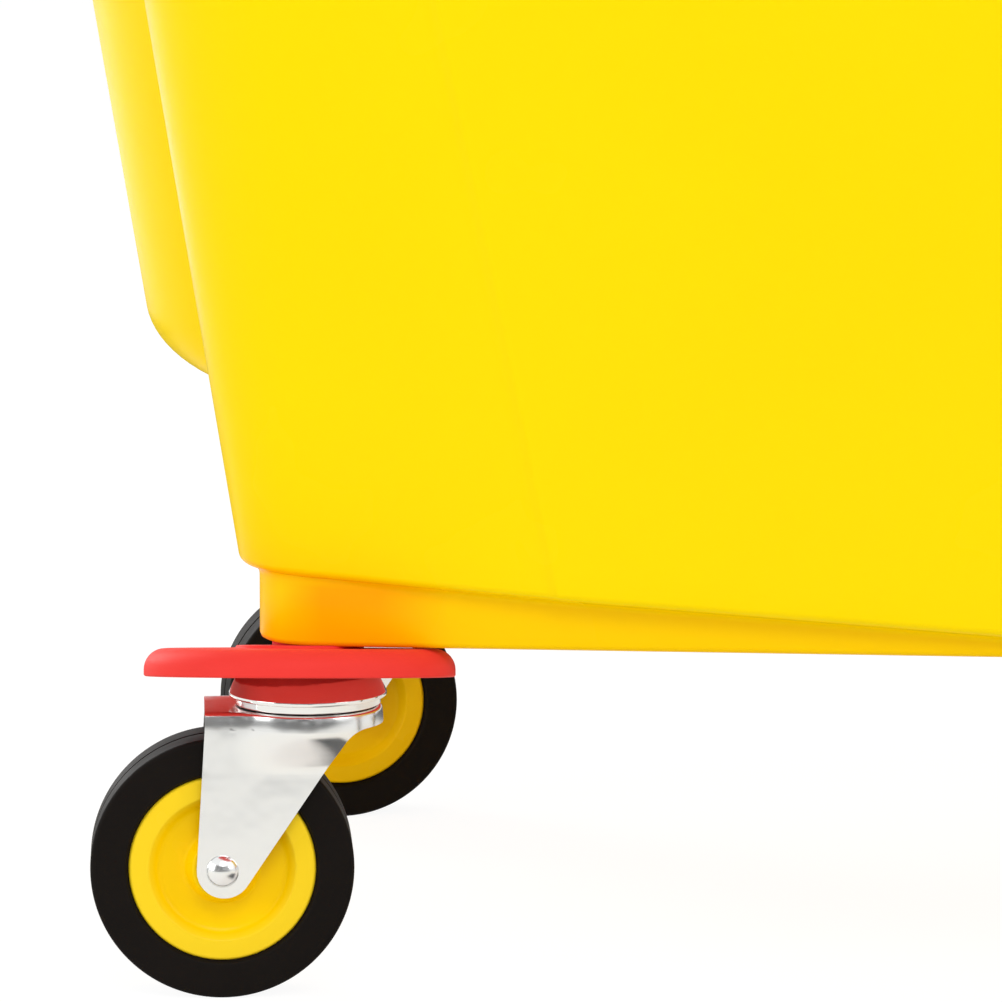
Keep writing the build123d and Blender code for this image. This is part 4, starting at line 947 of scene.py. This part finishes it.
def makeFloor():
    # a pale sheet that shows nearly white to the camera; metal sees more of its shadow, the dark room far in
    # front and behind, and a small soft painted dark patch close in front, a painted shadow seen only in
    # reflections
    d = floorLook
    s = d["half"]
    mesh = bpy.data.meshes.new("floor")
    mesh.from_pydata([(-s, -s, 0), (s, -s, 0), (s, s, 0), (-s, s, 0)], [], [(0, 1, 2, 3)])
    made, tree = newMaterial("paleFloor")
    ray = addNode(tree, "ShaderNodeLightPath")
    inMetal = addNode(tree, "ShaderNodeMath", {
        0: (ray, "Is Glossy Ray"), 1: d["mirrored"]}, operation="MULTIPLY")
    share = addNode(tree, "ShaderNodeMath", {
        0: (ray, "Is Camera Ray"), 1: d["seen"], 2: (inMetal, "Value")}, operation="MULTIPLY_ADD")
    plain = addNode(tree, "ShaderNodeBsdfDiffuse", {"Color": linear(d["colour"])})
    glow = addNode(tree, "ShaderNodeEmission", {"Color": linear("#ffffff"), "Strength": d["glow"]})
    pale = addNode(tree, "ShaderNodeMixShader", {
        "Fac": (share, "Value"), 1: (plain, "BSDF"), 2: (glow, "Emission")})
    where = addNode(tree, "ShaderNodeTexCoord")
    parts = addNode(tree, "ShaderNodeSeparateXYZ", {"Vector": (where, "Object")})
    front = addNode(tree, "ShaderNodeMapRange", {
        "Value": (parts, "Y"), "From Min": d["front"][0], "From Max": d["front"][1],
        "To Min": 1.0, "To Max": 0.0})
    back = addNode(tree, "ShaderNodeMapRange", {
        "Value": (parts, "Y"), "From Min": d["back"][0], "From Max": d["back"][1]})
    across = addNode(tree, "ShaderNodeMath", {0: (parts, "X")}, operation="ABSOLUTE")
    behind = addNode(tree, "ShaderNodeMapRange", {
        "Value": (across, "Value"), "From Min": d["beside"][0], "From Max": d["beside"][1],
        "To Min": (back, "Result"), "To Max": 0.0})
    # painted shadow on the floor close in front, seen only in reflections
    paintedDarkPatch = 1.0
    for axis, middle, span in zip("XY", d["paintedDarkPatch"], (d["paintedDarkPatchX"], d["paintedDarkPatchY"])):
        off = addNode(tree, "ShaderNodeMath", {0: (parts, axis), 1: middle}, operation="SUBTRACT")
        apart = addNode(tree, "ShaderNodeMath", {0: (off, "Value")}, operation="ABSOLUTE")
        within = addNode(tree, "ShaderNodeMapRange", {
            "Value": (apart, "Value"), "From Min": span[0], "From Max": span[1],
            "To Min": paintedDarkPatch, "To Max": 0.0})
        paintedDarkPatch = (within, "Result")
    far = addNode(tree, "ShaderNodeMath", {0: (front, "Result"), 1: (behind, "Result")}, operation="MAXIMUM")
    dim = addNode(tree, "ShaderNodeMath", {0: (far, "Value"), 1: paintedDarkPatch}, operation="MAXIMUM")
    dimmed = addNode(tree, "ShaderNodeMath", {
        0: (dim, "Value"), 1: (ray, "Is Glossy Ray")}, operation="MULTIPLY")
    room = addNode(tree, "ShaderNodeEmission", {"Color": linear("#ffffff"), "Strength": d["dark"]})
    whole = addNode(tree, "ShaderNodeMixShader", {
        "Fac": (dimmed, "Value"), 1: (pale, "Shader"), 2: (room, "Emission")})
    addNode(tree, "ShaderNodeOutputMaterial", {"Surface": (whole, "Shader")})
    mesh.materials.append(made)
    floor = bpy.data.objects.new("floor", mesh)
    scene.collection.objects.link(floor)


sky = {"light": 0.57, "seen": 1.0, "dark": 0.1, "darkFrom": -0.1, "darkTo": 0.58, "darkCore": 0.7,
       "front": (-0.75, -0.5), "cloud": 5.0, "cloudSpan": (0.35, 0.55), "cloudLow": 0.35}


def makeWorld():
    # white to the camera; a dimmer white as light; in reflections white with the dark room behind the camera:
    # a band of height (1 in its core, 0 at its two edges) times the share of the direction to the front,
    # broken up by clouds
    d = sky
    world = bpy.data.worlds.new("studio")
    scene.world = world
    world.use_nodes = True
    tree = world.node_tree
    tree.nodes.clear()
    ray = addNode(tree, "ShaderNodeLightPath")
    where = addNode(tree, "ShaderNodeTexCoord")
    way = addNode(tree, "ShaderNodeSeparateXYZ", {"Vector": (where, "Generated")})
    middle = (d["darkFrom"] + d["darkTo"]) / 2
    reach = (d["darkTo"] - d["darkFrom"]) / 2
    off = addNode(tree, "ShaderNodeMath", {0: (way, "Z"), 1: middle}, operation="SUBTRACT")
    apart = addNode(tree, "ShaderNodeMath", {0: (off, "Value")}, operation="ABSOLUTE")
    band = addNode(tree, "ShaderNodeMapRange", {
        "Value": (apart, "Value"), "From Min": reach * d["darkCore"], "From Max": reach,
        "To Min": 1.0, "To Max": 0.0})
    front = addNode(tree, "ShaderNodeMapRange", {
        "Value": (way, "Y"), "From Min": d["front"][0], "From Max": d["front"][1],
        "To Min": 1.0, "To Max": 0.0})
    both = addNode(tree, "ShaderNodeMath", {0: (band, "Result"), 1: (front, "Result")}, operation="MULTIPLY")
    noise = addNode(tree, "ShaderNodeTexNoise", {
        "Vector": (where, "Generated"), "Scale": d["cloud"], "Detail": 2.0})
    cloud = addNode(tree, "ShaderNodeMapRange", {
        "Value": (noise, "Fac"), "From Min": d["cloudSpan"][0], "From Max": d["cloudSpan"][1],
        "To Min": d["cloudLow"], "To Max": 1.0})
    broken = addNode(tree, "ShaderNodeMath", {0: (both, "Value"), 1: (cloud, "Result")}, operation="MULTIPLY")
    inMetal = addNode(tree, "ShaderNodeMath", {
        0: (broken, "Value"), 1: (ray, "Is Glossy Ray")}, operation="MULTIPLY")
    seen = addNode(tree, "ShaderNodeMapRange", {
        "Value": (inMetal, "Value"), "To Min": d["seen"], "To Max": d["dark"]})
    strength = addNode(tree, "ShaderNodeMix", {
        "Factor": (ray, "Is Diffuse Ray"), "A": (seen, "Result"), "B": d["light"]}, data_type="FLOAT")
    glow = addNode(tree, "ShaderNodeBackground", {
        "Color": linear("#ffffff"), "Strength": (strength, "Result")})
    addNode(tree, "ShaderNodeOutputWorld", {"Surface": (glow, "Background")})


lamps = {
    "key": {"place": (0.4, -2.6, 2.4), "aim": (-0.1, 0, 0.25), "size": (1.6, 1.2), "watts": 30},
    "left": {"place": (-2.3, -1.5, 0.8), "aim": (-0.1, 0, 0.15), "size": (1.2, 1.2), "watts": 14},
    "right": {"place": (2.4, -1.6, 1.5), "aim": (0, 0, 0.2), "size": (1.2, 1.6), "watts": 14},
    "edge": {"place": (-1.7, 1.4, 0.9), "aim": (-0.5, 0.1, 0.15), "size": (0.9, 1.2), "watts": 22},
}


def makeLamp(name, look):
    # a soft rectangle that faces its aim
    data = bpy.data.lights.new(name, "AREA")
    data.shape = "RECTANGLE"
    data.size, data.size_y = look["size"]
    data.energy = look["watts"]
    lamp = bpy.data.objects.new(name, data)
    lamp.location = look["place"]
    lamp.rotation_euler = (Vector(look["aim"]) - Vector(look["place"])).to_track_quat("-Z", "Y").to_euler()
    scene.collection.objects.link(lamp)


# place in millimetres, turns in degrees, focal length and width in pixels
photo = {"place": (49.25, -1978.8, 408.4), "yaw": 5.469, "pitch": 8.201, "pixels": 6613.1, "width": 1002,
         "sensor": 36.0, "farthest": 200}


def makeCamera():
    # looks along its yaw and pitch; the lens follows from the focal length in pixels of the square picture
    data = bpy.data.cameras.new("photo")
    data.sensor_width = photo["sensor"]
    data.lens = photo["pixels"] / photo["width"] * data.sensor_width
    data.clip_end = photo["farthest"]
    camera = bpy.data.objects.new("photo", data)
    yaw, pitch = np.radians(photo["yaw"]), np.radians(photo["pitch"])
    ahead = Vector((-np.sin(yaw) * np.cos(pitch), np.cos(yaw) * np.cos(pitch), -np.sin(pitch)))
    camera.location = Vector(photo["place"]) * mm
    camera.rotation_euler = ahead.to_track_quat("-Z", "Y").to_euler()
    scene.collection.objects.link(camera)
    scene.camera = camera


makeFloor()
makeWorld()
for name, look in lamps.items():
    makeLamp(name, look)
makeCamera()

print("stage set")
